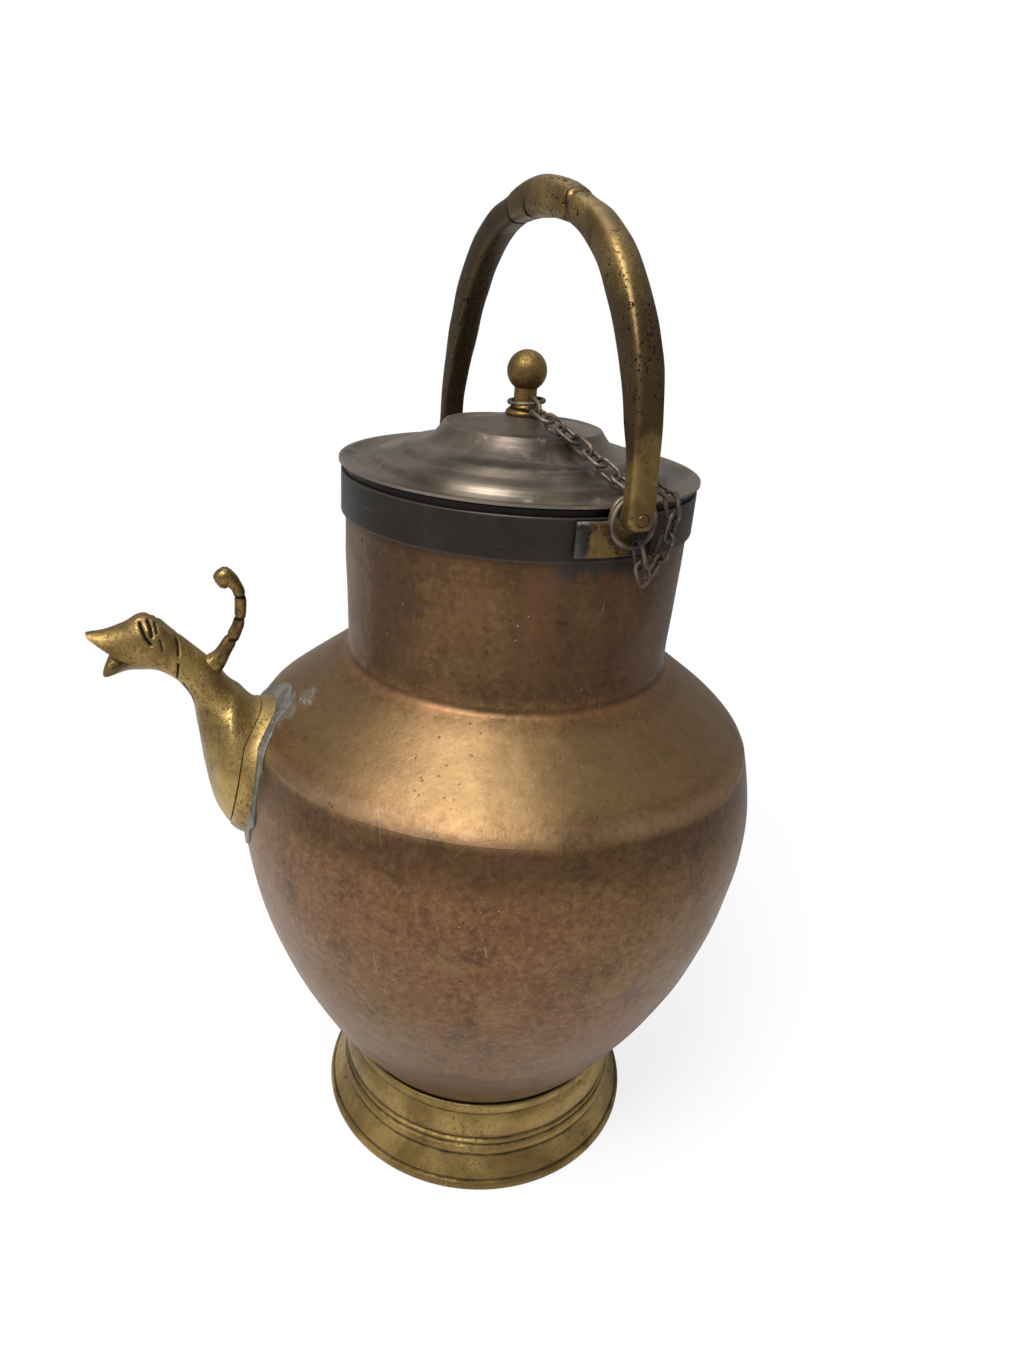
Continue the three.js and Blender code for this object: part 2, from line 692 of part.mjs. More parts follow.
// Each link lies at right angles to the one before it
function chainOnLid() {
  const joints = chainJoints();
  let across = new THREE.Vector3(0, 0.1, 1);
  return joints.slice(1).map((joint, i) => {
    const name = `chain_link_${String(i + 1).padStart(2, '0')}`;
    const link = placeLink(name, joints[i], joint, across);
    across = new THREE.Vector3().crossVectors(joint.clone().sub(joints[i]), across).normalize();
    return link;
  });
}

function stemLoop() {
  const loop = named('chain_stem_loop', wireRing(STEM_LOOP_R, LINK_WIRE), CHAIN_IRON);
  loop.rotation.set(Math.PI / 2 + 0.1, 0, 0);
  loop.position.set(1.6, -BAIL_OFFSET, LID_Z + LID_CROWN + 6.6 - HINGE_Z);
  return loop;
}

// The ring hangs on the lug's boss, and two links of the chain hang from the ring
function ringAndTail() {
  const ringX = EAR_FACE + BOSS_LENGTH / 2;
  const ring = named('chain_ring', wireRing(RING_R, RING_WIRE, 28), CHAIN_IRON);
  ring.rotation.set(0, -RING_LEAN, Math.PI / 2);
  ring.position.set(ringX + RING_R * Math.sin(RING_LEAN), 2.9, -3.4);
  const bight = RING_R - (RING_WIRE + LINK_WIRE) / 2 - FIT;
  const reach = bight + (LINK_LENGTH - LINK_WIRE - PITCH) / 2;
  const hang = new THREE.Vector3(0.09, 0.28, -1).normalize();
  const hook = ring.position.clone().addScaledVector(hang, reach);
  const turn = hook.clone().addScaledVector(hang, PITCH);
  const end = turn.clone().add(new THREE.Vector3(-1.8, 4.2, -8.2).setLength(PITCH));
  return [
    ring,
    placeLink('chain_tail_1', hook, turn, new THREE.Vector3(1, 0.15, 0)),
    placeLink('chain_tail_2', turn, end, new THREE.Vector3(-0.15, 1, 0)),
  ];
}

// Assembly
const spoutReach = BELLY_R + BEAK_TIP[0];
const jug = new THREE.Group();
jug.position.x = (spoutReach - BELLY_R) / 2;

jug.add(footRing(), lowerBowl(spoutHole().rotate([0, 0, 180])), shoulder(), neck(), rimBand());
jug.add(lidCover(), lidSleeve(), knob());

const spoutFrame = new THREE.Group();
spoutFrame.rotation.z = Math.PI;
spoutFrame.add(...spoutParts());
jug.add(spoutFrame);

const hingeFrame = new THREE.Group();
hingeFrame.rotation.z = THREE.MathUtils.degToRad(BAIL_AZIMUTH);
hingeFrame.position.set(0, BAIL_OFFSET, HINGE_Z)
  .applyAxisAngle(new THREE.Vector3(0, 0, 1), THREE.MathUtils.degToRad(BAIL_AZIMUTH));
hingeFrame.add(bailArch(), lug('lug_near', -BAIL_OFFSET), pin('pivot_pin_near'));
hingeFrame.add(stemLoop(), ...chainOnLid(), ...ringAndTail());
jug.add(hingeFrame);

// The far lug is the near one seen from the other end of the hinge line
const farFrame = new THREE.Group();
farFrame.rotation.z = Math.PI;
farFrame.add(lug('lug_far', BAIL_OFFSET), pin('pivot_pin_far'));
hingeFrame.add(farFrame);

const model = new THREE.Group();
model.add(jug);

export default model;
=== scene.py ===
# Copper water jug with an animal-head spout, a swinging bail and a chained lid.
# Lengths are millimetres, which finished() turns into metres, except where a comment says metres.
import math

import bmesh
import bpy
import numpy as np
from mathutils import Matrix, Vector, noise


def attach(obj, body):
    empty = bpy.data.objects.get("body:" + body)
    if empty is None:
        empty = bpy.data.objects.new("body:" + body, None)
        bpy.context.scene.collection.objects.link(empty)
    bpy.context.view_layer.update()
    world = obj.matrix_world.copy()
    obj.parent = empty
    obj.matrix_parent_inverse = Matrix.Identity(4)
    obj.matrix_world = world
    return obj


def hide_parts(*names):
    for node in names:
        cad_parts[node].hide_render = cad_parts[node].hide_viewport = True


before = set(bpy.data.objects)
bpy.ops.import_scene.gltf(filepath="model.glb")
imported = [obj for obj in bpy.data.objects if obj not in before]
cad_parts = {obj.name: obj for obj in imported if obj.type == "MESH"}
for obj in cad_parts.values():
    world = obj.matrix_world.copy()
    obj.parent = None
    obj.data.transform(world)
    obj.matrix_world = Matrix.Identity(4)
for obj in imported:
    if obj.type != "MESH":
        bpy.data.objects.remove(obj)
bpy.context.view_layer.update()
print("frame loaded:", len(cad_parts), "nodes")

mm = 0.001
jugAxis = 32.2  # the jug's own axis lies this far to +X of the origin
hingeLine = {"azimuth": -78, "offset": 4.3, "height": 378.4}


# Shader helpers

# an operator of a wire; a reflected one has the wire as its second value
def operator(operation, reflected=False):
    def apply(wire, other):
        pair = (other, wire) if reflected else (wire, other)
        return wire.maths(operation, *pair)
    return apply


# a node socket that takes Python maths
class Wire:
    def __init__(self, tree, socket):
        self.tree, self.socket = tree, socket

    def maths(self, operation, *values):
        node = self.tree.nodes.new("ShaderNodeMath")
        node.operation = operation
        for value, socket in zip(values, node.inputs):
            join(self.tree, value, socket)
        return Wire(self.tree, node.outputs[0])

    def __abs__(self):
        return self.maths("ABSOLUTE", self)

    __add__, __radd__ = operator("ADD"), operator("ADD", True)
    __sub__, __rsub__ = operator("SUBTRACT"), operator("SUBTRACT", True)
    __mul__, __rmul__ = operator("MULTIPLY"), operator("MULTIPLY", True)
    __pow__, most, least = operator("POWER"), operator("MAXIMUM"), operator("MINIMUM")


def join(tree, value, socket):
    if isinstance(value, Wire):
        tree.links.new(value.socket, socket)
    elif socket.type == "RGBA":
        socket.default_value = (*value, 1)
    else:
        socket.default_value = value


# one material or world, its colour so far, and short ways to add nodes to it
class Finish:
    def __init__(self, name, family="materials", ending="ShaderNodeOutputMaterial"):
        self.holder, self.ending = getattr(bpy.data, family).new(name), ending
        self.holder.use_nodes = True
        self.tree = self.holder.node_tree
        self.tree.nodes.clear()
        self.place = self.node("ShaderNodeTexCoord", output="Object")

    # sockets are given by number in a dictionary, or by name
    def node(self, kind, settings=None, output=0, sockets=None, **named):
        node = self.tree.nodes.new(kind)
        for key, value in (settings or {}).items():
            setattr(node, key, value)
        named = {key.replace("_", " "): value for key, value in named.items()}
        for key, value in {**(sockets or {}), **named}.items():
            join(self.tree, value, node.inputs[key])
        return Wire(self.tree, node.outputs[output])

    def moved(self, location=(0, 0, 0), rotation=(0, 0, 0), scale=(1, 1, 1)):
        return self.node("ShaderNodeMapping", Vector=self.place, Location=location,
                         Rotation=rotation, Scale=scale)

    # the scale is one number, or one for each axis of the place, which can then be moved first
    def noise(self, scale, detail=4.0, roughness=0.55, distortion=0.0, vector=None, **moves):
        if isinstance(scale, tuple):
            vector, scale = self.moved(scale=scale, **moves), 1
        return self.node("ShaderNodeTexNoise", Vector=vector or self.place, Scale=scale,
                         Detail=detail, Roughness=roughness, Distortion=distortion)

    def cells(self, scale, vector=None):
        return self.node("ShaderNodeTexVoronoi", output="Distance", Vector=vector or self.place, Scale=scale)

    # nothing under the low value and one over the high one
    def step(self, value, low, high):
        return self.node("ShaderNodeMapRange", {"interpolation_type": "SMOOTHSTEP"},
                         Value=value, From_Min=low, From_Max=high)

    # a noise with the same two limits
    def veil(self, low, high, *sizes, **more):
        return self.step(self.noise(*sizes, **more), low, high)

    def blend(self, factor, first, second):
        return self.node("ShaderNodeMix", {"data_type": "RGBA"}, 2, {0: factor, 6: first, 7: second})

    # lays a colour over what there is
    def coat(self, amount, colour):
        self.colour = self.blend(amount, self.colour, colour)

    def axes(self, place=None):
        split = self.node("ShaderNodeSeparateXYZ", sockets={0: place or self.place})
        return [Wire(self.tree, out) for out in split.socket.node.outputs]

    # place along the hinge line, across it, and height, all in metres
    def hingeAxes(self):
        turn = math.radians(-hingeLine["azimuth"])
        shift = (-jugAxis * mm * math.cos(turn), -jugAxis * mm * math.sin(turn), 0)
        return self.axes(self.moved(location=shift, rotation=(0, 0, turn)))

    # one at a spot given in metres, falling to nothing at the outer distance
    def near(self, spot, low, high, scale=(1, 1, 1)):
        away = [a * b for a, b in zip(spot, scale)]
        gap = self.node("ShaderNodeVectorMath", {"operation": "DISTANCE"}, "Value",
                        {0: self.moved(scale=scale), 1: away})
        return 1 - self.step(gap, low, high)

    # one where a value equals a size, falling to nothing on both sides
    def line(self, value, size, soft):
        return 1 - self.step(abs(value - size), 0.0, soft)

    def bump(self, height, strength, distance, **normal):
        return self.node("ShaderNodeBump", Height=height, Strength=strength, Distance=distance, **normal)

    def close(self, **inputs):
        return self.end(self.node("ShaderNodeBsdfPrincipled", Base_Color=self.colour, **inputs))

    def end(self, shader):
        ending = self.tree.nodes.new(self.ending)
        join(self.tree, shader, ending.inputs[0])
        return self.holder


# Finishes

copperLook = {"shade": (0.046, 0.024, 0.012), "body": (0.140, 0.077, 0.030), "warm": (0.142, 0.064, 0.030),
              "gold": (0.215, 0.137, 0.060), "rubAndSheen": (0.42, 0.28, 0.16), "stainAndShade": (0.018, 0.011, 0.008),
              "lead": (0.090, 0.088, 0.073), "seamSheen": (0.36, 0.18, 0.08), "bare": (0.100, 0.052, 0.019),
              "brightLead": (0.30, 0.31, 0.28), "underLug": (0.035, 0.032, 0.032), "rim": (0.012, 0.01, 0.01),
              "glint": (0.62, 0.45, 0.30)}
# heights and spots on the copper, in metres
copperPlaces = {"crease": 0.2505, "neckFoot": 0.2860, "joint": 0.2882, "spoutRoot": (-0.099, 0, 0.2265),
                "smear": (-0.081, -0.012, 0.2620), "upperSmear": (-0.070, -0.016, 0.2700)}


def copperFinish():
    look, places = copperLook, copperPlaces
    f = Finish("agedCopper")
    x, z = f.axes()[::2]
    patches = f.noise(9, 5, 0.6, distortion=0.6)
    drift = f.noise(3.5, 3, 0.5)
    cloud = f.noise(6, 6, 0.68, distortion=0.5)
    f.colour = f.blend(f.step(patches, 0.32, 0.68), look["body"], look["warm"])
    f.coat(f.step(drift, 0.47, 0.66) * 0.7, look["gold"])
    f.coat(f.step(cloud, 0.48, 0.68) * 0.6, look["shade"])
    mottle = f.noise(48, 5, 0.7)
    f.coat(f.step(mottle, 0.50, 0.66) * 0.5, look["shade"])
    f.coat(f.veil(0.52, 0.70, 33, 5, 0.7) * 0.38, look["gold"])
    speckle = f.noise(280, 4, 0.8)
    f.coat(f.step(speckle, 0.50, 0.62) * 0.45, look["gold"])
    f.coat((1 - f.step(speckle, 0.36, 0.47)) * 0.48, look["shade"])
    turned = f.noise((10, 10, 360), 3, 0.6)  # fine lines round the spun sheet
    f.coat(f.step(turned, 0.42, 0.78) * 0.22, look["shade"])
    brushed = f.noise((60, 60, 700), 4, 0.7, rotation=(0.5, 0.35, 0.2))
    f.coat(f.step(brushed, 0.62, 0.80) * 0.18, look["rubAndSheen"])
    # golden shoulder, the crease under it, rubbed and with a painted highlight, and a painted dark reflection
    # below the crease
    height = z + (drift - 0.5) * 0.010
    shoulder = f.step(height, 0.250, 0.260) * (1 - f.step(z, 0.278, 0.2875))
    f.coat(shoulder * 0.50, look["gold"])
    # the crease is partly rubbed copper and partly a painted highlight
    crease = f.line(height, places["crease"], 0.0060)
    f.coat(crease * f.step(patches, 0.34, 0.60) * 0.38, look["rubAndSheen"])
    # painted shade: a dark reflection on the bowl below the crease
    under = f.step(z, 0.222, 0.240) * (1 - f.step(height, 0.2430, 0.2490))
    f.coat(under * 0.45, look["shade"])
    # the neck is darker and redder, with broad upright bands of painted dark reflection
    reflectionBands = f.noise((26, 26, 2), 2, 0.5)
    neckPart = f.step(z, 0.289, 0.296)
    f.coat(neckPart * (0.30 + f.step(reflectionBands, 0.40, 0.62) * 0.35), look["shade"])
    redder = f.veil(0.48, 0.66, (18, 18, 5), 3, location=(3, 1, 0))
    f.coat(neckPart * redder * 0.45, look["warm"])
    f.coat(f.line(z + (mottle - 0.5) * 0.0012, places["joint"], 0.0021) * 0.55, look["stainAndShade"])
    # a bright line along the neck's seam, partly rubbed copper and partly a painted highlight
    seamSheen = f.line(height, places["neckFoot"], 0.0040)
    f.coat(seamSheen * f.step(patches, 0.30, 0.55) * 0.30, look["seamSheen"])
    # painted shade on the neck just below and behind the band
    f.coat(f.step(z + (patches - 0.5) * 0.012, 0.3515, 0.3565) * 0.55, look["shade"])
    # the bowl's end in the foot is bare and brown, with a ragged edge
    torn = f.noise((55, 55, 20), 4, 0.6)
    low = 1 - f.step(z + (torn - 0.5) * 0.030 - x * 0.10, 0.0975, 0.1000)
    f.coat(low * (0.55 + f.step(mottle, 0.44, 0.60) * 0.40), look["bare"])
    # grime and painted shade in the gap where the bowl goes into the foot
    f.coat((1 - f.step(z + (torn - 0.5) * 0.006, 0.0510, 0.0560)) * 0.9, look["stainAndShade"])
    # solder run on to the bowl round the spout, and under the near lug
    ragged = f.noise((300, 120, 75), 5, 0.75, 0.8, rotation=(0, 0.7, 0.2))
    spoutNear = f.near(places["spoutRoot"], 0.0375, 0.0455)
    upper = f.near(places["upperSmear"], 0.001, 0.0170, (0.8, 1, 1.6)) * 0.85
    run = f.near(places["smear"], 0.002, 0.0200, (1, 0.8, 1.4)).most(upper)
    lead = f.step((spoutNear * 0.8).most(run) + (ragged - 0.5) * 1.5, 0.42, 0.80)
    lead = lead * f.step(spoutNear.most(run), 0.02, 0.30)
    along, across = f.hingeAxes()[:2]
    drips = f.noise((160, 160, 40), 4, 0.6)
    lug = f.step(along, 0.05, 0.06) * (1 - f.step(abs(across + 0.002), 0.011, 0.026))
    lug = lug * f.step(z + (drips - 0.5) * 0.020, 0.3475, 0.3535)
    f.coat(lead * 0.62, look["lead"])
    f.coat(lead * f.step(ragged, 0.56, 0.66) * 0.6, look["brightLead"])
    f.coat(lug * 0.85, look["underLug"])
    # painted shade: the neck's top above the band, under the lid's brim, is near black
    f.coat(f.step(z, 0.3750, 0.3762), look["rim"])
    # spots, nicks and long hair scratches
    spots = f.veil(0.66, 0.74, 75, 3, 0.7) * f.veil(0.46, 0.60, 14, 2)
    specks = (1 - f.step(f.cells(230), 0.08, 0.20)) * f.veil(0.50, 0.62, 22, 3)
    f.coat((spots * 0.6).most(specks * 0.6), look["stainAndShade"])
    glints = 1 - f.step(f.cells(170, f.moved(location=(5, 2, 1))), 0.03, 0.08)
    f.coat(glints * f.veil(0.54, 0.62, 30, 3) * 0.8, look["glint"])
    hair = f.veil(0.745, 0.765, (24, 1100, 24), 2, 0.5, rotation=(0.2, 1.1, 0.7))
    hair = hair.most(f.veil(0.75, 0.77, (1200, 20, 20), 2, 0.5, rotation=(1.0, 0.3, 1.9)))
    f.coat(hair * 0.28, look["rubAndSheen"])
    rough = 0.37 + f.noise(26, 4, 0.6) * 0.14 + spots * 0.15 + lead * 0.18 + cloud * 0.06
    grain = f.noise(420, 4, 0.7)
    normal = f.bump(f.noise(26, 2, 0.5), 0.30, 0.0045)
    normal = f.bump(turned * 0.35 + grain * 0.8 + mottle * 0.8 + hair * -0.4 - specks * 0.8 + lead * 1.2,
                    0.22, 0.0006, Normal=normal)
    return f.close(Metallic=0.86 - lead * 0.35, Roughness=rough, Normal=normal)


brassLook = {"dark": (0.024, 0.015, 0.008), "body": (0.148, 0.092, 0.029), "bright": (0.330, 0.225, 0.078),
             "brown": (0.060, 0.034, 0.015), "pitAndShade": (0.007, 0.005, 0.004),
             "nearSide": (0.036, 0.020, 0.010), "farSide": (0.034, 0.022, 0.012)}
gripCuts = (-27, -10, 26)  # lines cut across the bail's grip, along the line through the pins


# cast brass; grooves are heights, in metres, of dark lines of grime and painted shade round a turned piece
def brassFinish(name, pitting, tarnish, grooves=(), hasGrimeAndShade=False, swung=False):
    look = brassLook
    f = Finish(name)
    z = f.axes()[2]
    wide = f.noise(16, 5, 0.6, distortion=0.5)
    fine = f.noise(90, 5, 0.7)
    f.colour = f.blend(f.step(wide, 0.36, 0.66), look["body"], look["bright"])
    f.coat(f.veil(0.46, 0.66, 24, 6, 0.7, distortion=0.4) * tarnish, look["brown"])
    f.coat(f.step(fine, 0.52, 0.72) * 0.6 * tarnish, look["dark"])
    if swung:  # the bail is dark on its far side and low on its near leg
        along = f.hingeAxes()[0]
        stainAndShade = (f.noise(24, 5, 0.65) - 0.5) * 0.06
        leg = f.step(z + stainAndShade, 0.3950, 0.4080) * (1 - f.step(z + stainAndShade, 0.4500, 0.4950))
        f.coat(f.step(along, 0.02, 0.05) * leg * 0.86, look["nearSide"])
        f.coat((1 - f.step(along, -0.055, 0.045)) * 0.90, look["farSide"])
    groups = f.veil(0.40, 0.54, 38, 3, 0.6)  # pits come in clusters
    pits = f.veil(0.550, 0.630, (600, 600, 480), 3, 0.7).most(f.veil(0.590, 0.650, (260, 260, 208), 4, 0.7))
    pits = pits * groups * pitting
    dirtAndShade = pits * 0.94
    if swung:
        for cut in gripCuts:
            dirtAndShade = dirtAndShade.most(f.line(along, cut * mm, 0.0010) * f.step(z, 0.4650, 0.4700) * 0.9)
    # grime and painted shade in the grooves
    for height in grooves:
        dirtAndShade = dirtAndShade.most(f.line(z + (fine - 0.5) * 0.0010, height, 0.0012) * (0.35 + fine * 0.8))
    # the attribute holds grime in cut lines and painted shade inside the spout
    if hasGrimeAndShade:
        grimeAndShade = f.node("ShaderNodeAttribute", {"attribute_name": "grimeAndShade"}, output="Fac")
        dirtAndShade = dirtAndShade.most(f.step(grimeAndShade, 0.15, 0.75) * 0.96)
    f.coat(dirtAndShade.least(1.0), look["pitAndShade"])
    rough = 0.31 + wide * 0.10 + fine * 0.14 + dirtAndShade * 0.30
    normal = f.bump(f.noise(55, 3, 0.5), 0.18, 0.0022)
    normal = f.bump(fine * 0.5 + f.noise(500, 3, 0.6) * 0.3 - pits, 0.55, 0.0006, Normal=normal)
    return f.close(Metallic=0.9, Roughness=rough, Normal=normal)


# brass that shows only round the ear; the rest is tinned dark with a paler top edge
def lugFinish():
    look = brassLook
    f = Finish("tinnedLug")
    across, height = f.hingeAxes()[1:]
    fine = f.noise(120, 5, 0.7)
    wobble = (f.noise(75, 5, 0.7) - 0.5) * 0.016
    off = abs(across + wobble + 0.001)
    bare = (1 - f.step(off, 0.0095, 0.0115)) * (1 - f.step(height + wobble * 0.5, 0.3740, 0.3765))
    brass = f.blend(f.step(fine, 0.40, 0.60), look["body"], look["brown"])
    tin = f.blend(f.veil(0.42, 0.66, 70, 4, 0.6), (0.022, 0.020, 0.018), (0.055, 0.052, 0.045))
    f.colour = f.blend(bare, tin, brass)
    edge = f.step(height + wobble * 0.25, 0.3733, 0.3746) * (1 - bare)
    f.coat(edge * 0.75, (0.26, 0.26, 0.235))
    ear = 1 - f.step(off, 0.0065, 0.0075)
    f.coat(ear * f.step(height, 0.3700, 0.3720) * 0.6, look["body"])
    pits = (1 - f.step(f.cells(420), 0.14, 0.30)) * f.veil(0.48, 0.60, 60, 3)
    f.coat(pits * 0.9, look["pitAndShade"])
    normal = f.bump(fine * 0.8 + f.noise(300, 3) * 0.4 - pits, 0.6, 0.0007)
    return f.close(Metallic=0.8, Roughness=0.40 + fine * 0.16, Normal=normal)


def bandFinish():
    look = {"body": (0.0140, 0.0113, 0.0092), "pale": (0.033, 0.027, 0.021), "brown": (0.036, 0.021, 0.013)}
    f = Finish("darkBand")
    z = f.axes()[2]
    cloud = f.noise(20, 5, 0.65, distortion=0.8)
    f.colour = f.blend(f.step(cloud, 0.45, 0.75) * 0.7, look["body"], look["pale"])
    f.coat(f.veil(0.54, 0.72, 42, 4, 0.6) * 0.6, look["brown"])
    # painted highlight along the band's top and bottom edges
    edge = f.step(z, 0.3748, 0.3760).most(1 - f.step(z, 0.3572, 0.3584))
    f.coat(edge * 0.5, (0.09, 0.08, 0.065))
    hair = f.veil(0.72, 0.76, (40, 40, 800), 2, rotation=(0.7, 0.2, 0))
    f.coat(hair * 0.3, (0.14, 0.13, 0.12))
    normal = f.bump(f.noise(170, 4, 0.6) + hair * -0.5, 0.25, 0.0007)
    return f.close(Metallic=0.75, Roughness=0.40 + cloud * 0.16, Normal=normal)


def lidFinish():
    look = {"body": (0.148, 0.118, 0.088), "pale": (0.235, 0.190, 0.145), "dark": (0.046, 0.035, 0.026)}
    f = Finish("tinnedLid")
    x, y, z = f.axes()
    x = x - jugAxis * mm
    radius = (x * x + y * y) ** 0.5
    turn = x.maths("ARCTAN2", y, x)
    ringPlace = f.node("ShaderNodeCombineXYZ", X=radius * 520, Y=turn * 1.6, Z=z * 60)
    rings = f.noise(1, 4, 0.65, vector=ringPlace)
    broad = f.noise(13, 5, 0.6, distortion=0.7)
    f.colour = f.blend(f.step(broad, 0.38, 0.66), look["body"], look["dark"])
    f.coat(f.step(rings, 0.50, 0.72) * 0.22, look["pale"])
    f.coat(f.veil(0.56, 0.72, 30, 5, 0.7) * 0.4, look["pale"])
    f.coat(f.step(radius, 0.0825, 0.0846) * 0.5, look["pale"])
    f.coat(f.veil(0.67, 0.74, 120, 3, 0.6) * 0.25, (0.36, 0.33, 0.28))
    normal = f.bump(rings * 0.25 + f.noise(260, 4, 0.7) * 0.6, 0.25, 0.0006)
    return f.close(Metallic=0.78, Roughness=0.36 + broad * 0.12, Normal=normal)


def chainFinish():
    f = Finish("darkIronWire")
    rust = f.noise(130, 4, 0.6)
    f.colour = f.blend(f.step(rust, 0.40, 0.66), (0.062, 0.046, 0.036), (0.155, 0.112, 0.078))
    f.coat(f.veil(0.58, 0.72, 420, 3) * 0.6, (0.30, 0.245, 0.185))
    normal = f.bump(f.noise(700, 3, 0.6), 0.35, 0.0004)
    return f.close(Metallic=0.7, Roughness=0.42 + rust * 0.2, Normal=normal)


def solderFinish():
    f = Finish("oldSolder")
    cloud = f.noise(70, 5, 0.7, distortion=1.0)
    f.colour = f.blend(f.step(cloud, 0.38, 0.64), (0.066, 0.063, 0.050), (0.165, 0.158, 0.133))
    f.coat(f.veil(0.56, 0.68, 40, 4, 0.7) * 0.8, (0.11, 0.06, 0.04))
    f.coat(f.veil(0.62, 0.70, (90, 90, 600), 3, rotation=(0, 0.6, 0)) * 0.4, (0.34, 0.345, 0.32))
    normal = f.bump(f.noise(220, 4, 0.7) + cloud, 0.6, 0.0009)
    return f.close(Metallic=0.45, Roughness=0.5 + cloud * 0.15, Normal=normal)


finishes = {
    "copper": copperFinish(),
    "brass": brassFinish("agedBrass", 1.0, 0.65, swung=True),
    "footBrass": brassFinish("footBrass", 0.45, 0.35, (0.0051, 0.0164, 0.0232, 0.0266, 0.0425)),
    "spoutBrass": brassFinish("spoutBrass", 0.5, 0.55, hasGrimeAndShade=True),
    "tailBrass": brassFinish("tailBrass", 0.7, 0.9, hasGrimeAndShade=True),
    "knobBrass": brassFinish("knobBrass", 0.3, 0.85, (0.4062,)),
    "lugBrass": lugFinish(),
    "band": bandFinish(),
    "lid": lidFinish(),
    "chain": chainFinish(),
    "solder": solderFinish(),
}
slotOf = dict.fromkeys(finishes, "aged_brass")
slotOf.update(copper="aged_copper", band="dark_band", lid="lid_metal", chain="chain_iron", solder="solder")
print("finishes made")


# Mesh helpers

onAxis = Matrix.Translation((jugAxis, 0, 0))
toMinusX = onAxis @ Matrix.Rotation(math.pi, 4, "Z")
inHinge = (onAxis @ Matrix.Rotation(math.radians(hingeLine["azimuth"]), 4, "Z")
           @ Matrix.Translation((0, hingeLine["offset"], hingeLine["height"])))


def addObject(name, data):
    thing = bpy.data.objects.new(name, data)
    bpy.context.scene.collection.objects.link(thing)
    return thing


def addMesh(name, bm):
    mesh = bpy.data.meshes.new(name)
    bm.to_mesh(mesh)
    bm.free()
    return addObject(name, mesh)


# edges are sharp over an angle in degrees; the nodes are the CAD ones that the piece stands for
def dress(piece, finish, body, nodes, sharp):
    piece.data.set_sharp_from_angle(angle=math.radians(sharp))
    piece.data.materials.clear()
    piece.data.materials.append(finishes[finish])
    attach(piece, body)
    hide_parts(*nodes)


# turns a bmesh in millimetres into an object of the jug: a piece if it is dressed, else a tool
def finished(bm, name, place, *dressing):
    bmesh.ops.remove_doubles(bm, verts=bm.verts, dist=0.005)
    bmesh.ops.recalc_face_normals(bm, faces=bm.faces)
    bmesh.ops.transform(bm, matrix=place, verts=bm.verts)
    bmesh.ops.scale(bm, vec=(mm, mm, mm), verts=bm.verts)
    for face in bm.faces:
        face.smooth = True
    piece = addMesh(name, bm)
    if dressing:
        dress(piece, *dressing)
    return piece


# spins a closed outline of (radius, height) about the Z axis
def spun(outline, steps):
    bm = bmesh.new()
    points = [bm.verts.new((radius, 0, height)) for radius, height in outline]
    for here, there in zip(points, points[1:] + points[:1]):
        bm.edges.new((here, there))
    bmesh.ops.spin(bm, geom=bm.verts[:] + bm.edges[:], cent=(0, 0, 0), axis=(0, 0, 1),
                   angle=2 * math.pi, steps=steps, use_merge=True, use_duplicate=False)
    bmesh.ops.remove_doubles(bm, verts=bm.verts, dist=0.004)
    bmesh.ops.dissolve_degenerate(bm, edges=bm.edges, dist=0.0005)
    return bm


# a sheet's closed outline: the outer side and the same side set in by the wall
def walled(outer, wall):
    return outer + list(reversed(inset(outer, wall)))


# a rod along X; without a bevel it is a tool for a bore
def rodAlong(radius, start, end, segments, bevel=0):
    bm = bmesh.new()
    bmesh.ops.create_cone(bm, cap_ends=True, segments=segments, radius1=radius, radius2=radius,
                          depth=end - start)
    if bevel:
        rims = [edge for edge in bm.edges if len(edge.link_faces) == 2
                and sorted(len(face.verts) for face in edge.link_faces)[-1] > 4]
        bmesh.ops.bevel(bm, geom=rims, offset=bevel, segments=3, profile=0.5, affect="EDGES", material=-1)
    bmesh.ops.rotate(bm, verts=bm.verts, cent=(0, 0, 0), matrix=Matrix.Rotation(math.pi / 2, 3, "Y"))
    bmesh.ops.translate(bm, verts=bm.verts, vec=((start + end) / 2, 0, 0))
    return bm


# cosine and sine at points round a ring; a power under one squares the ring off
def roundRing(count, power=1.0):
    pairs = []
    for i in range(count):
        angle = 2 * math.pi * (i + 0.5) / count
        c, s = math.cos(angle), math.sin(angle)
        pairs.append((math.copysign(abs(c) ** power, c), math.copysign(abs(s) ** power, s)))
    return pairs


# rolls a grid into a tube whose rows are the given rings of points
def rolled(rings, closed=False):
    rows = rings + rings[:1] if closed else rings
    bm = bmesh.new()
    bmesh.ops.create_grid(bm, x_segments=len(rows[0]), y_segments=len(rows) - 1, size=1)
    bm.verts.ensure_lookup_table()
    across = len(rows[0]) + 1
    for i, row in enumerate(rows):
        for j in range(across):
            bm.verts[i * across + j].co = row[j % len(row)]
    bmesh.ops.remove_doubles(bm, verts=bm.verts, dist=0.003)
    if not closed:
        ends = [edge for edge in bm.edges if edge.is_boundary]
        bmesh.ops.holes_fill(bm, edges=ends, sides=0)
    bmesh.ops.recalc_face_normals(bm, faces=bm.faces)
    return bm


# Catmull-Rom value of a row of numbers or tuples, at a place counted in points
def curveThrough(points, at):
    i = min(int(at), len(points) - 2)
    t = at - i
    rows = [points[max(i - 1, 0)], points[i], points[i + 1], points[min(i + 2, len(points) - 1)]]
    out = []
    for a, b, c, d in zip(*rows):
        out.append(0.5 * (2 * b + (c - a) * t + (2 * a - 5 * b + 4 * c - d) * t * t
                          + (3 * b - a - 3 * c + d) * t ** 3))
    return tuple(out)


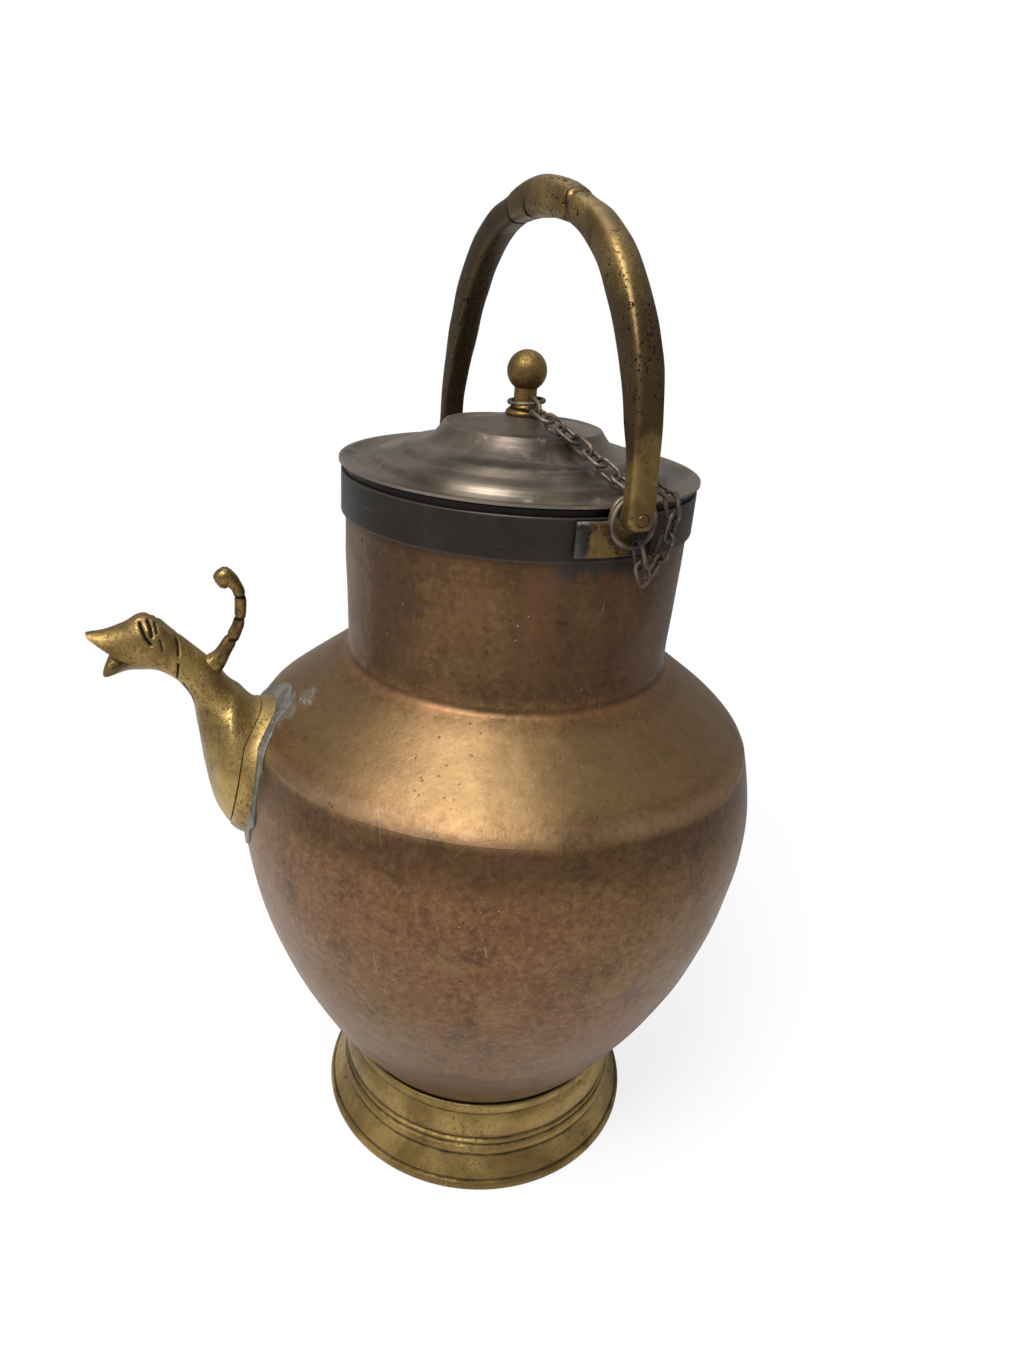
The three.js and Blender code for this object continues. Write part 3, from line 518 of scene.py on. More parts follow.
# the same outline with a smooth curve through its points
def rounded(points, steps):
    count = (len(points) - 1) * steps
    return [curveThrough(points, i / steps) for i in range(count + 1)]


def inset(outline, wall):
    inner = []
    for i, (radius, height) in enumerate(outline):
        r0, z0 = outline[max(i - 1, 0)]
        r1, z1 = outline[min(i + 1, len(outline) - 1)]
        length = math.hypot(r1 - r0, z1 - z0) or 1
        inner.append((max(radius - wall * (z1 - z0) / length, 0.0), height + wall * (r1 - r0) / length))
    return inner


def bezier(points, steps):
    out = []
    for i in range(steps + 1):
        row = [Vector(p) for p in points]
        t = i / steps
        while len(row) > 1:
            row = [a.lerp(b, t) for a, b in zip(row, row[1:])]
        out.append(tuple(row[0]))
    return out


def smoothstep(value, low, high):
    t = min(max((value - low) / (high - low), 0), 1)
    return t * t * (3 - 2 * t)


# moves the surface in and out a little, as hand work leaves it
def ruffle(bm, amount, size, seed, keep=None):
    bm.normal_update()
    moves = []
    for vert in bm.verts:
        share = keep(vert.co) if keep else 1
        wave = noise.noise(vert.co / size + Vector((seed, seed * 0.7, 0)))
        moves.append(vert.normal * (wave * amount * share))
    for vert, move in zip(bm.verts, moves):
        vert.co += move


# dents the jug's sheet, the same way through its wall and across its seams
def handWork(bm):
    for vert in bm.verts:
        radius = math.hypot(vert.co.x, vert.co.y)
        if radius < 1:
            continue
        out = Vector((vert.co.x, vert.co.y, 0)) / radius
        z = vert.co.z
        keep = smoothstep(z, 56, 80) * (1 - smoothstep(z, 335, 352))
        spoutGap = (vert.co - Vector((-115, 0, spoutHole["height"]))).length
        keep *= smoothstep(spoutGap, 46, 62)
        spot = out * 110 + Vector((0, 0, z))
        fine = noise.noise(spot / dents["fine"] + Vector((7, 3, 1)))
        wave = noise.noise(spot / dents["broad"]) + 0.55 * fine
        creased = math.exp(-((z - bowl["creaseHeight"]) / 14) ** 2)  # the dents are deepest at the crease
        vert.co += out * (wave * dents["depth"] * keep * (0.55 + 0.75 * creased))


# makes a tool, applies its boolean to the piece and deletes it
def cutWith(piece, bm, place, operation="DIFFERENCE"):
    tool = finished(bm, "tool", place)
    modifier = piece.modifiers.new("cut", "BOOLEAN")
    modifier.operation, modifier.solver, modifier.object = operation, "EXACT", tool
    bpy.context.view_layer.update()
    shown = piece.evaluated_get(bpy.context.evaluated_depsgraph_get())
    mesh = bpy.data.meshes.new_from_object(shown)
    piece.modifiers.clear()
    piece.data = mesh
    bpy.data.objects.remove(tool)


# Vessel

dents = {"depth": 1.5, "broad": 55, "fine": 24}
bowl = {"seatRadius": 74, "seatHeight": 47, "bellyRadius": 134.2, "bellyHeight": 206,
        "creaseRadius": 127.5, "creaseHeight": 249, "wall": 1.5, "floorRadius": 62, "floorHeight": 40}
neck = {"footRadius": 80.2, "footHeight": 287.5, "topRadius": 82.4, "topHeight": 378.8, "wall": 1.5}
spoutHole = {"radius": 16, "height": 226.5}


def bowlOutline():
    b = bowl
    seatR, seatZ, bellyR, bellyZ = b["seatRadius"], b["seatHeight"], b["bellyRadius"], b["bellyHeight"]
    creaseR, creaseZ = b["creaseRadius"], b["creaseHeight"]
    flank, swell = bellyZ - seatZ, bellyR - seatR
    lower = bezier([(seatR, seatZ), (seatR + 0.36 * swell, seatZ + 0.17 * flank),
                    (bellyR, bellyZ - 0.41 * flank), (bellyR, bellyZ)], 34)
    upper = bezier([(bellyR, bellyZ), (bellyR, (bellyZ + creaseZ) / 2), (creaseR + 0.6, creaseZ - 3.2),
                    (creaseR - 0.2, creaseZ)], 12)
    return lower + upper[1:]


def shoulderOutline():
    creaseR, creaseZ = bowl["creaseRadius"], bowl["creaseHeight"]
    neckR, neckZ = neck["footRadius"], neck["footHeight"]
    run, climb = creaseR - neckR, neckZ - creaseZ
    return bezier([(creaseR - 0.2, creaseZ), (creaseR - 0.1 * run, creaseZ + 0.18 * climb),
                   (creaseR - 0.25 * run, creaseZ + 0.3 * climb), (neckR, neckZ)], 22)


def neckRadius(height):
    n = neck
    share = (height - n["footHeight"]) / (n["topHeight"] - n["footHeight"])
    return n["footRadius"] + share * (n["topRadius"] - n["footRadius"])


# the room inside the bowl's outer side, grown by some millimetres
def vesselSpace(growth):
    outline = bowlOutline() + shoulderOutline()[1:]
    grown = [(radius + growth, height) for radius, height in outline]
    return spun([(0, bowl["seatHeight"])] + grown + [(0, neck["footHeight"])], 144)


def makeVessel():
    b, n = bowl, neck
    outer = [(0, b["floorHeight"]), (b["floorRadius"], b["floorHeight"]),
             (b["seatRadius"] - 2, b["seatHeight"] - 4.4)] + bowlOutline()
    bm = spun(walled(outer, b["wall"]), 192)
    handWork(bm)
    body = finished(bm, "bowlSheet", onAxis)
    hole = rodAlong(spoutHole["radius"], -b["bellyRadius"] - 20, -b["bellyRadius"] + 20, 48)
    cutWith(body, hole, onAxis @ Matrix.Translation((0, 0, spoutHole["height"])))
    dress(body, "copper", "vessel", ["lower_bowl"], 50)

    bm = spun(walled(shoulderOutline(), b["wall"]), 192)
    handWork(bm)
    finished(bm, "shoulderSheet", onAxis, "copper", "vessel", ["shoulder"], 60)

    radius, low = n["footRadius"], n["footHeight"]
    heights = [low + i * (n["topHeight"] - low) / 24 for i in range(25)]
    side = [(neckRadius(height), height) for height in heights]
    fillet = bezier([(radius + 2.6, low - 2), (radius + 0.3, low - 0.2), (neckRadius(low + 3), low + 3)], 8)
    outer = fillet + [point for point in side if point[1] > fillet[-1][1] + 1]
    bm = spun(outer + [(radius - n["wall"], height) for radius, height in reversed(side)], 192)
    handWork(bm)
    finished(bm, "neckSheet", onAxis, "copper", "vessel", ["neck"], 50)


# rows of (inset, height): from the radius, then from the band of the waist, then from the lip
foot = {"radius": 90.5, "height": 49.4, "band": 80.3, "lip": 78.6, "beads": {
    "radius": [(0.5, 0), (0.1, 0.4), (0, 1.4), (0.1, 2.6), (0.7, 3.8), (1.6, 4.7), (2.3, 5.1), (2.5, 5.9),
               (3.4, 7.2), (5.2, 10), (7.1, 13.2), (8.6, 15.6), (9.2, 16.4), (8.9, 17.1), (8.2, 18.1),
               (8.0, 19.4), (8.3, 20.8), (9.1, 22.1), (10.2, 23)],
    "band": [(0.3, 23.5), (-0.2, 24.1), (-0.4, 24.8), (-0.1, 25.5), (1.0, 26.2), (1.3, 26.8), (0.7, 27.6),
             (0.1, 29), (-0.1, 31), (0.2, 34), (1.0, 37.2), (2.2, 40), (3.2, 41.7), (3.5, 42.5)],
    "lip": [(1.3, 43), (0.5, 43.8), (0.1, 45.2), (0, 46.8), (0.3, 48.4), (1.0, 49.3), (1.7, 49.4),
            (2.6, 49.1)]}}


def makeFoot():
    r, b, seat = foot["radius"], foot["band"], bowl["seatRadius"]
    outer = [(foot[part] - less, height) for part, rows in foot["beads"].items() for less, height in rows]
    outer.append((seat + 1.4, foot["height"] - 0.9))
    inner = [(r - 3, 0), (r - 5.5, 4), (r - 11.6, 13), (b - 3.6, 22), (b - 3.6, 33),
             (seat + 0.3, bowl["floorHeight"]), (seat + 0.3, bowl["seatHeight"] - 0.3)]
    bm = spun(rounded(outer, 2) + list(reversed(inner)), 176)
    ruffle(bm, 0.4, 22, 4, lambda p: smoothstep(p.z, 3, 8) * (1 - smoothstep(p.z, 40, 43)))
    finished(bm, "footCasting", onAxis, "footBrass", "vessel", ["foot_ring"], 40)


band = {"foot": 357, "top": 376, "clear": 0.3, "reach": 1.6}


def makeBand():
    low, high = band["foot"], band["top"]
    inner, outer = neckRadius(low) + band["clear"], neckRadius(high) + band["reach"]
    outline = [(inner, low), (outer - 0.3, low), (outer, low + 0.3), (outer, (low + high) / 2),
               (outer, high - 0.3), (outer - 0.3, high), (inner, high)]
    bm = spun(outline, 176)
    ruffle(bm, 0.35, 30, 9)
    finished(bm, "neckBand", onAxis, "band", "vessel", ["rim_band"], 30)


# Lid

# the steps are shares of the radius and drops from the crown, the rim is insets from the radius and drops
lid = {"radius": 85, "crown": 22.7, "sheet": 1.0, "seat": 380.33, "sleeveLow": 364.8, "sleeveHigh": 377.2,
       "steps": [(0.17, 0.8), (0.24, 2.3), (0.31, 3.7), (0.37, 4.5), (0.40, 4.6), (0.418, 4.2), (0.432, 4.3),
                 (0.442, 5.1), (0.465, 8.0), (0.50, 11.2), (0.535, 13.0), (0.575, 13.9), (0.615, 14.3),
                 (0.645, 15.0), (0.67, 16.6), (0.70, 17.9), (0.74, 18.6), (0.785, 19.6), (0.805, 21.0),
                 (0.82, 22.9), (0.845, 24.2), (0.87, 24.5), (0.9, 24.3), (0.93, 23.8)],
       "rim": [(0.8, 22.1), (0.1, 22.1)]}


def makeLid():
    span, rise = lid["radius"], lid["crown"]
    outline = [(2.9, rise), (9.5, rise)] + [(share * span, rise - drop) for share, drop in lid["steps"]]
    top = rounded(outline + [(span - less, rise - drop) for less, drop in lid["rim"]], 4)
    under = [(radius, height - lid["sheet"]) for radius, height in top]
    bm = spun([(radius, height + lid["seat"]) for radius, height in top + list(reversed(under))], 192)
    ruffle(bm, 0.45, 26, 2, lambda p: smoothstep(math.hypot(p.x, p.y), 12, 24)
           * (1 - smoothstep(math.hypot(p.x, p.y), 72, 79)))
    finished(bm, "lidSheet", onAxis, "lid", "lid", ["lid_cover"], 40)
    outer, low, high = neck["topRadius"] - neck["wall"] - 0.8, lid["sleeveLow"], lid["sleeveHigh"]
    sleeve = spun([(outer - 1, low), (outer, low), (outer, high), (outer - 1, high)], 144)
    finished(sleeve, "lidSleeveSheet", onAxis, "lid", "lid", ["lid_sleeve"], 30)


# rows of (past the stem or the shank, height over the crown)
knob = {"ball": 9.2, "height": 29.1, "stem": 5.2, "shank": 2.6,
        "flare": [(3.3, 0.3), (3.5, 1.0), (3.2, 2.0), (2.2, 3.0), (1.2, 4.0), (0.3, 5.4), (0, 7.4)],
        "rivet": [(1, -3.1), (1.9, -2.1), (1.9, -1.3), (0, -1.3), (0, 0.3)]}


def makeKnob():
    k = knob
    start = math.asin(k["stem"] / k["ball"])
    centre = k["height"] - k["ball"]
    ball = []
    for i in range(25):
        angle = start + (math.pi - start) * i / 24
        ball.append((k["ball"] * math.sin(angle), centre - k["ball"] * math.cos(angle)))
    ball[-1] = (0, k["height"])
    stem = rounded([(k["stem"] + past, height) for past, height in k["flare"]], 3)
    under = [(0, -3.1)] + [(k["shank"] + past, height) for past, height in k["rivet"]]
    bm = spun([(r, h + lid["seat"] + lid["crown"]) for r, h in under + stem + ball], 96)
    ruffle(bm, 0.12, 7, 6)
    finished(bm, "knobTurning", onAxis, "knobBrass", "lid", ["knob"], 45)


# Spout

spout = {"root": 226.5, "wall": 2.6, "collar": 7, "sink": 5, "segments": 120, "steps": 15,
         "beakTip": (64.4, 73.5), "mouthCorner": (48.6, 61.5), "jawTip": (56.8, 50.6)}


def wallReach(rise):
    outline = bowlOutline() + shoulderOutline()[1:]
    height = spout["root"] + rise
    for (r0, z0), (r1, z1) in zip(outline, outline[1:]):
        if z0 <= height <= z1:
            return r0 + (r1 - r0) * (height - z0) / (z1 - z0) - bowl["bellyRadius"]


# each rib: reach past the belly and rise over the root of its upper side, then of its under side, half width
spout["ribs"] = [
    (wallReach(35) - spout["sink"], 35, wallReach(-35) - spout["sink"], -35, 36),
    (wallReach(34) + spout["collar"] + 2, 34, wallReach(-31) + spout["collar"] - 2, -31, 33),
    (-0.8, 42.2, 12.6, -17.6, 28), (2.4, 45.2, 16.8, 0.4, 21.5), (5.2, 48.5, 19.2, 22.1, 16),
    (8.5, 53.8, 21, 37.6, 12.8), (15, 60.9, 26.1, 47.4, 11.2), (21.4, 66.9, 31.6, 52.1, 10.8),
    (29.4, 74.2, 37, 54.5, 11.2), (40, 81.6, 42.8, 54.6, 11), (49.3, 77.4, 48.7, 54.1, 9.8),
    (57, 74.4, 57.2, 51, 8.4), (65.4, 73.2, 64.6, 49, 6)]
tail = {"ribs": [(10.5, 45, 19, 54, 7), (7, 51.4, 14.4, 59, 5.2), (4.8, 55.5, 9.9, 62, 4.6),
                 (1.3, 62.6, 5.9, 67.6, 3.7), (-2.2, 69.2, 2.6, 72.7, 3.2),
                 (-4.9, 76.5, 0.2, 78.3, 3), (-5.9, 83.9, -0.6, 84.8, 3),
                 (-6, 90, -0.4, 89.3, 3.1), (-4.1, 96.1, 0.4, 92.5, 3.4), (-0.8, 101.2, 2, 94.1, 4),
                 (2.8, 103.6, 3.5, 93.6, 4.6), (6.2, 102.4, 5.3, 94.3, 4), (8.2, 100, 7.5, 96.8, 2.2)],
        "notches": [68.5, 78.8, 89.6], "lastNotched": 8.4}
# lines cut in the head: depth, width, and a path as reach and rise; eye, ear, neck and throat
headLines = [
    (1.3, 0.75, [(41.4, 79.6), (40.0, 76.4), (38.6, 73.1), (36.5, 70.4)]),
    (1.1, 0.7, [(37.9, 79.8), (36.6, 77), (36.0, 73.6)]),
    (0.5, 0.5, [(35.3, 78.4), (34.2, 74.6)]),
    (0.45, 0.45, [(32.6, 71.8), (31.8, 67)]),
    (0.75, 0.55, [(28.5, 76.4), (26.6, 72.4), (25.2, 68.4), (25.0, 64.2)]),
    (0.7, 0.55, [(25.3, 60.3), (26.0, 56.3), (26.8, 52)]),
    (1.1, 0.8, [(24.4, 49), (22.3, 44.2), (20.8, 40)]),
]


def ribRing(rib, growth, segments, power=1.0):
    upperX, upperZ, lowerX, lowerZ, halfWidth = rib
    height = math.hypot(upperX - lowerX, upperZ - lowerZ)
    middle = Vector((bowl["bellyRadius"] + (upperX + lowerX) / 2, 0, spout["root"] + (upperZ + lowerZ) / 2))
    up = Vector((upperX - lowerX, 0, upperZ - lowerZ)) / height
    return [middle + up * (c * (height / 2 + growth)) + Vector((0, s * (halfWidth + growth), 0))
            for c, s in roundRing(segments, power)]


def nearestOn(path, x, z):
    best = 1e9
    for (x0, z0), (x1, z1) in zip(path, path[1:]):
        dx, dz = x1 - x0, z1 - z0
        t = min(max(((x - x0) * dx + (z - z0) * dz) / (dx * dx + dz * dz), 0), 1)
        best = min(best, math.hypot(x - x0 - t * dx, z - z0 - t * dz))
    return best


# presses the head's lines into both sides and marks them for the grime in them
def carveHead(bm):
    grimeAndShade = bm.verts.layers.float.new("grimeAndShade")
    bm.normal_update()
    moves = []
    for vert in bm.verts:
        x, z = vert.co.x - bowl["bellyRadius"], vert.co.z - spout["root"]
        side = smoothstep(abs(vert.normal.y), 0.05, 0.4)
        move, dirtAndShade = 0, 0
        if x > 18 and side > 0:
            for depth, width, path in headLines:
                gap = nearestOn(path, x, z)
                if gap < 3 * width:
                    press = math.exp(-(gap / width) ** 2)
                    move -= depth * press
                    dirtAndShade = max(dirtAndShade, press)
            move -= 0.9 * math.exp(-(((x - 49) / 6) ** 2 + ((z - 68) / 5) ** 2))  # hollow before the eye
            move += 0.7 * math.exp(-(((x - 38.2) / 1.6) ** 2 + ((z - 76) / 4) ** 2))  # the eye itself
            move += 0.8 * math.exp(-(((x - 33) / 5) ** 2 + ((z - 77) / 4) ** 2))  # brow behind the eye
        vert[grimeAndShade] = dirtAndShade * side
        moves.append(vert.normal * move * side)
    for vert, move in zip(bm.verts, moves):
        vert.co += move


# the spout's outside, grown by some millimetres, up to the last rib asked for
def hornTube(growth, steps, segments, last=None):
    ribs = spout["ribs"]
    last = len(ribs) - 1 if last is None else last
    count = int(last * steps)
    return rolled([ribRing(curveThrough(ribs, last * i / count), growth, segments) for i in range(count + 1)])


def mouthTool():
    (beakX, beakZ), (cornerX, cornerZ), (jawX, jawZ) = spout["beakTip"], spout["mouthCorner"], spout["jawTip"]
    pastX, pastZ = cornerX + 1.8 * (jawX - cornerX), cornerZ + 1.8 * (jawZ - cornerZ)
    points = [(beakX, beakZ - 2.4), (cornerX, cornerZ), (pastX, pastZ), (beakX + 30, pastZ),
              (beakX + 30, beakZ + 30), (beakX, beakZ + 30)]
    bm = bmesh.new()
    slant = (0.375, 0.285)  # the cut runs aslant, along the upper lip, so the far wall's inside shows
    half, middle = 30, 4
    side = [bm.verts.new((bowl["bellyRadius"] + x + slant[0] * (half + middle), -half,
                          spout["root"] + z + slant[1] * (half + middle))) for x, z in points]
    face = bm.faces.new(side)
    out = bmesh.ops.extrude_face_region(bm, geom=[face])
    moved = [item for item in out["geom"] if isinstance(item, bmesh.types.BMVert)]
    bmesh.ops.translate(bm, verts=moved, vec=(-slant[0] * 2 * half, 2 * half, -slant[1] * 2 * half))
    return bm


def makeSpout():
    wall, collar = spout["wall"], spout["collar"]
    horn = hornTube(0, spout["steps"], spout["segments"])
    carveHead(horn)
    ruffle(horn, 0.25, 9, 12)
    piece = finished(horn, "spoutHorn", toMinusX)
    bore = hornTube(-wall, 4, 40)
    insideShade = bore.verts.layers.float.new("grimeAndShade")
    for vert in bore.verts:
        vert[insideShade] = 1  # painted shade: the inside is dark
    cutWith(piece, bore, toMinusX)
    cutWith(piece, mouthTool(), toMinusX)
    cutWith(piece, vesselSpace(collar + 0.5), onAxis)
    dress(piece, "spoutBrass", "vessel", ["spout"], 38)
    print("spout cut")

    ring = finished(hornTube(0.5, 6, 64, 4), "spoutCollarRing", toMinusX)
    cutWith(ring, hornTube(-wall, 4, 40, 4.4), toMinusX)
    cutWith(ring, vesselSpace(collar), onAxis, "INTERSECT")
    cutWith(ring, vesselSpace(0.3), onAxis)
    dress(ring, "spoutBrass", "vessel", ["spout_collar"], 38)

    blob = hornTube(5.2, 6, 96, 3.6)
    ruffle(blob, 3.4, 13, 20)
    skirt = finished(blob, "solderSkirt", toMinusX)
    cutWith(skirt, vesselSpace(0.95), onAxis, "INTERSECT")
    cutWith(skirt, hornTube(0.2, 4, 48, 4), toMinusX)
    cutWith(skirt, vesselSpace(0.25), onAxis)
    dress(skirt, "solder", "vessel", ["spout_solder"], 50)
    print("collar and solder cut")


def makeTail():
    ribs, notches, steps = tail["ribs"], tail["notches"], 8
    rings = []
    for i in range((len(ribs) - 1) * steps + 1):
        rib = curveThrough(ribs, i / steps)
        centreZ = (rib[1] + rib[3]) / 2
        dip = sum(math.exp(-((centreZ - notch) / 0.9) ** 2) for notch in notches)
        rings.append(ribRing(rib, -0.55 * dip if i / steps <= tail["lastNotched"] else 0, 28, 0.8))
    bm = rolled(rings)
    grimeAndShade = bm.verts.layers.float.new("grimeAndShade")
    end = Vector((bowl["bellyRadius"] + 4.5, 0, spout["root"] + 98.6))
    for vert in bm.verts:  # the bud is cut with small grains
        share = 1 - smoothstep((vert.co - end).length, 6.2, 8.2)
        grain = math.sin(vert.co.x * 2.6) * math.sin(vert.co.z * 2.6)
        height = vert.co.z - spout["root"]
        ringed = max(math.exp(-((height - notch) / 0.8) ** 2) for notch in notches)
        onStem = height < 95 and vert.co.x < bowl["bellyRadius"] + 3
        vert[grimeAndShade] = max(share * max(-grain, 0) * 0.5, ringed * (1 - share) if onStem else 0)
        vert.co += vert.normal * (share * 0.16 * grain)
    ruffle(bm, 0.15, 5, 2)
    finished(bm, "spoutTailCurl", toMinusX, "tailBrass", "vessel", ["spout_tail"], 40)


# Bail, lugs and pins

bail = {"foot": 95.6, "cuts": gripCuts, "pinRadius": 2.5, "pinHole": 2.8,
        "ends": [(5, 0.55), (4.4, 0.8), (3.2, 0.94), (1.6, 1.0)],  # drop and share of the size
        "ribs": [(-95.6, 0, 4, 6), (-94.4, 20, 4, 6), (-89.6, 39, 5.2, 6.2), (-83.4, 56.5, 6.6, 6.6),
                 (-75.4, 74.5, 7.4, 6.9), (-62, 92.5, 7.6, 7), (-45, 105.5, 7, 6.8), (-30, 111, 6.2, 6.4),
                 (-15, 114.8, 7.3, 6.8), (0, 116.1, 7.9, 7), (15, 114.5, 7.2, 6.8), (30, 110.4, 6.2, 6.4),
                 (46, 103.6, 7, 6.8), (62, 91.6, 7.8, 7), (76.5, 73.5, 7.8, 7), (85.6, 56, 7.2, 6.8),
                 (90.8, 38, 6, 6.4), (94.4, 20, 4, 6.2), (95.6, 0, 4, 6)]}


def makeBail():
    ribs, foot, steps = bail["ribs"], bail["foot"], 12
    far = [(-foot, -z, 4 * share, 6 * share) for z, share in bail["ends"]]
    near = [(-x, z, half, width) for x, z, half, width in reversed(far)]
    rows = far + [curveThrough(ribs, i / steps) for i in range((len(ribs) - 1) * steps + 1)] + near
    rings = []
    for i, (x, z, half, width) in enumerate(rows):
        x0, z0 = rows[max(i - 1, 0)][:2]
        x1, z1 = rows[min(i + 1, len(rows) - 1)][:2]
        out = Vector((-(z1 - z0), 0, x1 - x0)) / math.hypot(x1 - x0, z1 - z0)
        dip = sum(math.exp(-((x - cut) / 0.55) ** 2) for cut in bail["cuts"]) if z > 90 else 0
        step = 0.35 if z > 90 and -27 < x < 26 else 0  # the grip stands a little proud between its cuts
        grow = step - 0.8 * dip
        power = 0.44 + 0.26 * smoothstep(z, 50, 100)  # flat-sided legs, rounder at the grip
        rings.append([Vector((x, 0, z)) + out * (c * (half + grow)) + Vector((0, s * (width + grow), 0))
                      for c, s in roundRing(40, power)])
    bm = rolled(rings)
    ruffle(bm, 0.3, 14, 11)
    piece = finished(bm, "bailArch", inHinge)
    cutWith(piece, rodAlong(bail["pinHole"], -120, 120, 32), inHinge)
    dress(piece, "brass", "bail", ["bail"], 40)


lugs = {"halfAngle": 11, "inner": 84.25, "outer": 86.25, "low": -18.7, "high": -3.3, "earRadius": 7,
        "earBack": 85.15, "earFace": 87.25, "bossRadius": 4.2, "bossEnd": 90.05, "pinEnd": 99.6}


def makeLug(name, node, pinNode, place, axisY):
    g = lugs
    low, high, inner, outer = g["low"], g["high"], g["inner"], g["outer"]
    half = math.radians(g["halfAngle"])
    rings = []
    for i in range(31):  # the soldered plate, bent round the band
        angle = -half + 2 * half * i / 30
        slim = 0.55 + 0.45 * smoothstep(1 - abs(2 * i / 30 - 1), 0, 0.12)
        ring = []
        for c, s in roundRing(28, 0.4):
            radius = (inner + outer) / 2 + c * (outer - inner) / 2 * slim
            height = (low + high) / 2 + s * (high - low) / 2 * (0.96 + 0.04 * slim)
            ring.append(Vector((radius * math.cos(angle), axisY + radius * math.sin(angle), height)))
        rings.append(ring)
    bm = rolled(rings)
    ruffle(bm, 0.3, 6, 14, lambda p: smoothstep(math.hypot(p.x, p.y - axisY), inner + 0.6, outer))
    plate = finished(bm, name, place)
    back, face, depth = g["earBack"], g["earFace"], 6
    cutWith(plate, rodAlong(g["earRadius"], back, face, 64, 0.5), place, "UNION")
    web = bmesh.new()
    bmesh.ops.create_cube(web, size=1)
    bmesh.ops.scale(web, verts=web.verts, vec=(face - back, 2 * g["earRadius"], depth))
    bmesh.ops.translate(web, verts=web.verts, vec=((face + back) / 2, 0, -depth / 2))
    cutWith(plate, web, place, "UNION")
    cutWith(plate, rodAlong(g["bossRadius"], face - 1, g["bossEnd"], 40, 0.3), place, "UNION")
    cutWith(plate, rodAlong(bail["pinHole"], 60, 110, 32), place)
    dress(plate, "lugBrass", "vessel", [node], 40)
    pin = rodAlong(bail["pinRadius"], back + 0.3, g["pinEnd"] + 0.2, 32, 0.5)
    finished(pin, name + "Pin", place, "brass", "vessel", [pinNode], 40)


# Chain

chain = {"length": 14.4, "width": 8, "wire": 1.85, "ring": 10.3, "ringWire": 2.3, "stemLoop": 8,
         "stemWire": 1.9}


def wireLoopRings(length, width, wire, segments, bend):
    rings = []
    radius, straight = (width - wire) / 2, (length - width) / 2
    for side in (1, -1):
        for i in range(bend + 1):
            angle = math.pi * (i / bend - side / 2)
            out = Vector((math.cos(angle), 0, math.sin(angle)))
            centre = Vector((side * straight, 0, 0)) + out * radius
            rings.append([centre + out * (math.cos(t) * wire / 2) + Vector((0, math.sin(t) * wire / 2, 0))
                          for t in (2 * math.pi * j / segments for j in range(segments))])
    return rings


# finds how a CAD wire loop lies, from its mesh: centre, long, short and flat directions
def frameOf(node):
    points = [vert.co.copy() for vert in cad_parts[node].data.vertices]
    centre = sum(points, Vector()) / len(points)
    spread = Matrix(((0, 0, 0), (0, 0, 0), (0, 0, 0)))
    for point in points:
        d = point - centre
        for i in range(3):
            for j in range(3):
                spread[i][j] += d[i] * d[j]
    vectors = np.linalg.eigh(np.array(spread))[1]
    flat, short, along = (Vector(vectors[:, i]) for i in range(3))
    return centre, along, short, flat


def wireLoopOn(node, name, body, sizes, seed):
    centre, along, short, flat = frameOf(node)
    basis = Matrix((along, flat, short)).transposed().to_4x4()
    bm = rolled(wireLoopRings(*sizes), closed=True)
    ruffle(bm, 0.14, 3.2, seed)
    finished(bm, name, Matrix.Translation(centre / mm) @ basis, "chain", body, [node], 60)


def makeChain():
    c = chain
    link = (c["length"], c["width"], c["wire"], 12, 10)
    for i in range(1, 15):
        wireLoopOn(f"chain_link_{i:02d}", f"wireLink{i:02d}", "lid", link, i)
    for i in (1, 2):
        wireLoopOn(f"chain_tail_{i}", f"wireTail{i}", "ring", link, 20 + i)
    size = 2 * c["ring"] + c["ringWire"]
    wireLoopOn("chain_ring", "wireRing", "ring", (size, size - 0.01, c["ringWire"], 14, 24), 30)
    size = 2 * c["stemLoop"] + 2.0
    wireLoopOn("chain_stem_loop", "wireStemLoop", "lid", (size, size - 0.01, c["stemWire"], 12, 20), 31)


makeVessel()
makeFoot()
makeBand()
print("vessel made")
makeLid()
makeKnob()
print("lid made")
makeSpout()
makeTail()
makeBail()
makeLug("lugNear", "lug_near", "pivot_pin_near", inHinge, -hingeLine["offset"])
makeLug("lugFar", "lug_far", "pivot_pin_far", inHinge @ Matrix.Rotation(math.pi, 4, "Z"), hingeLine["offset"])
print("bail and lugs made")
makeChain()
print("chain made")


# Stage, light and camera

view = {"pan": 0.0025, "tilt": 0.4137, "roll": -0.0758, "place": (0, -446.73, 466.72), "turn": -15.5,
        "focal": 933.95, "frameHeight": 1350}


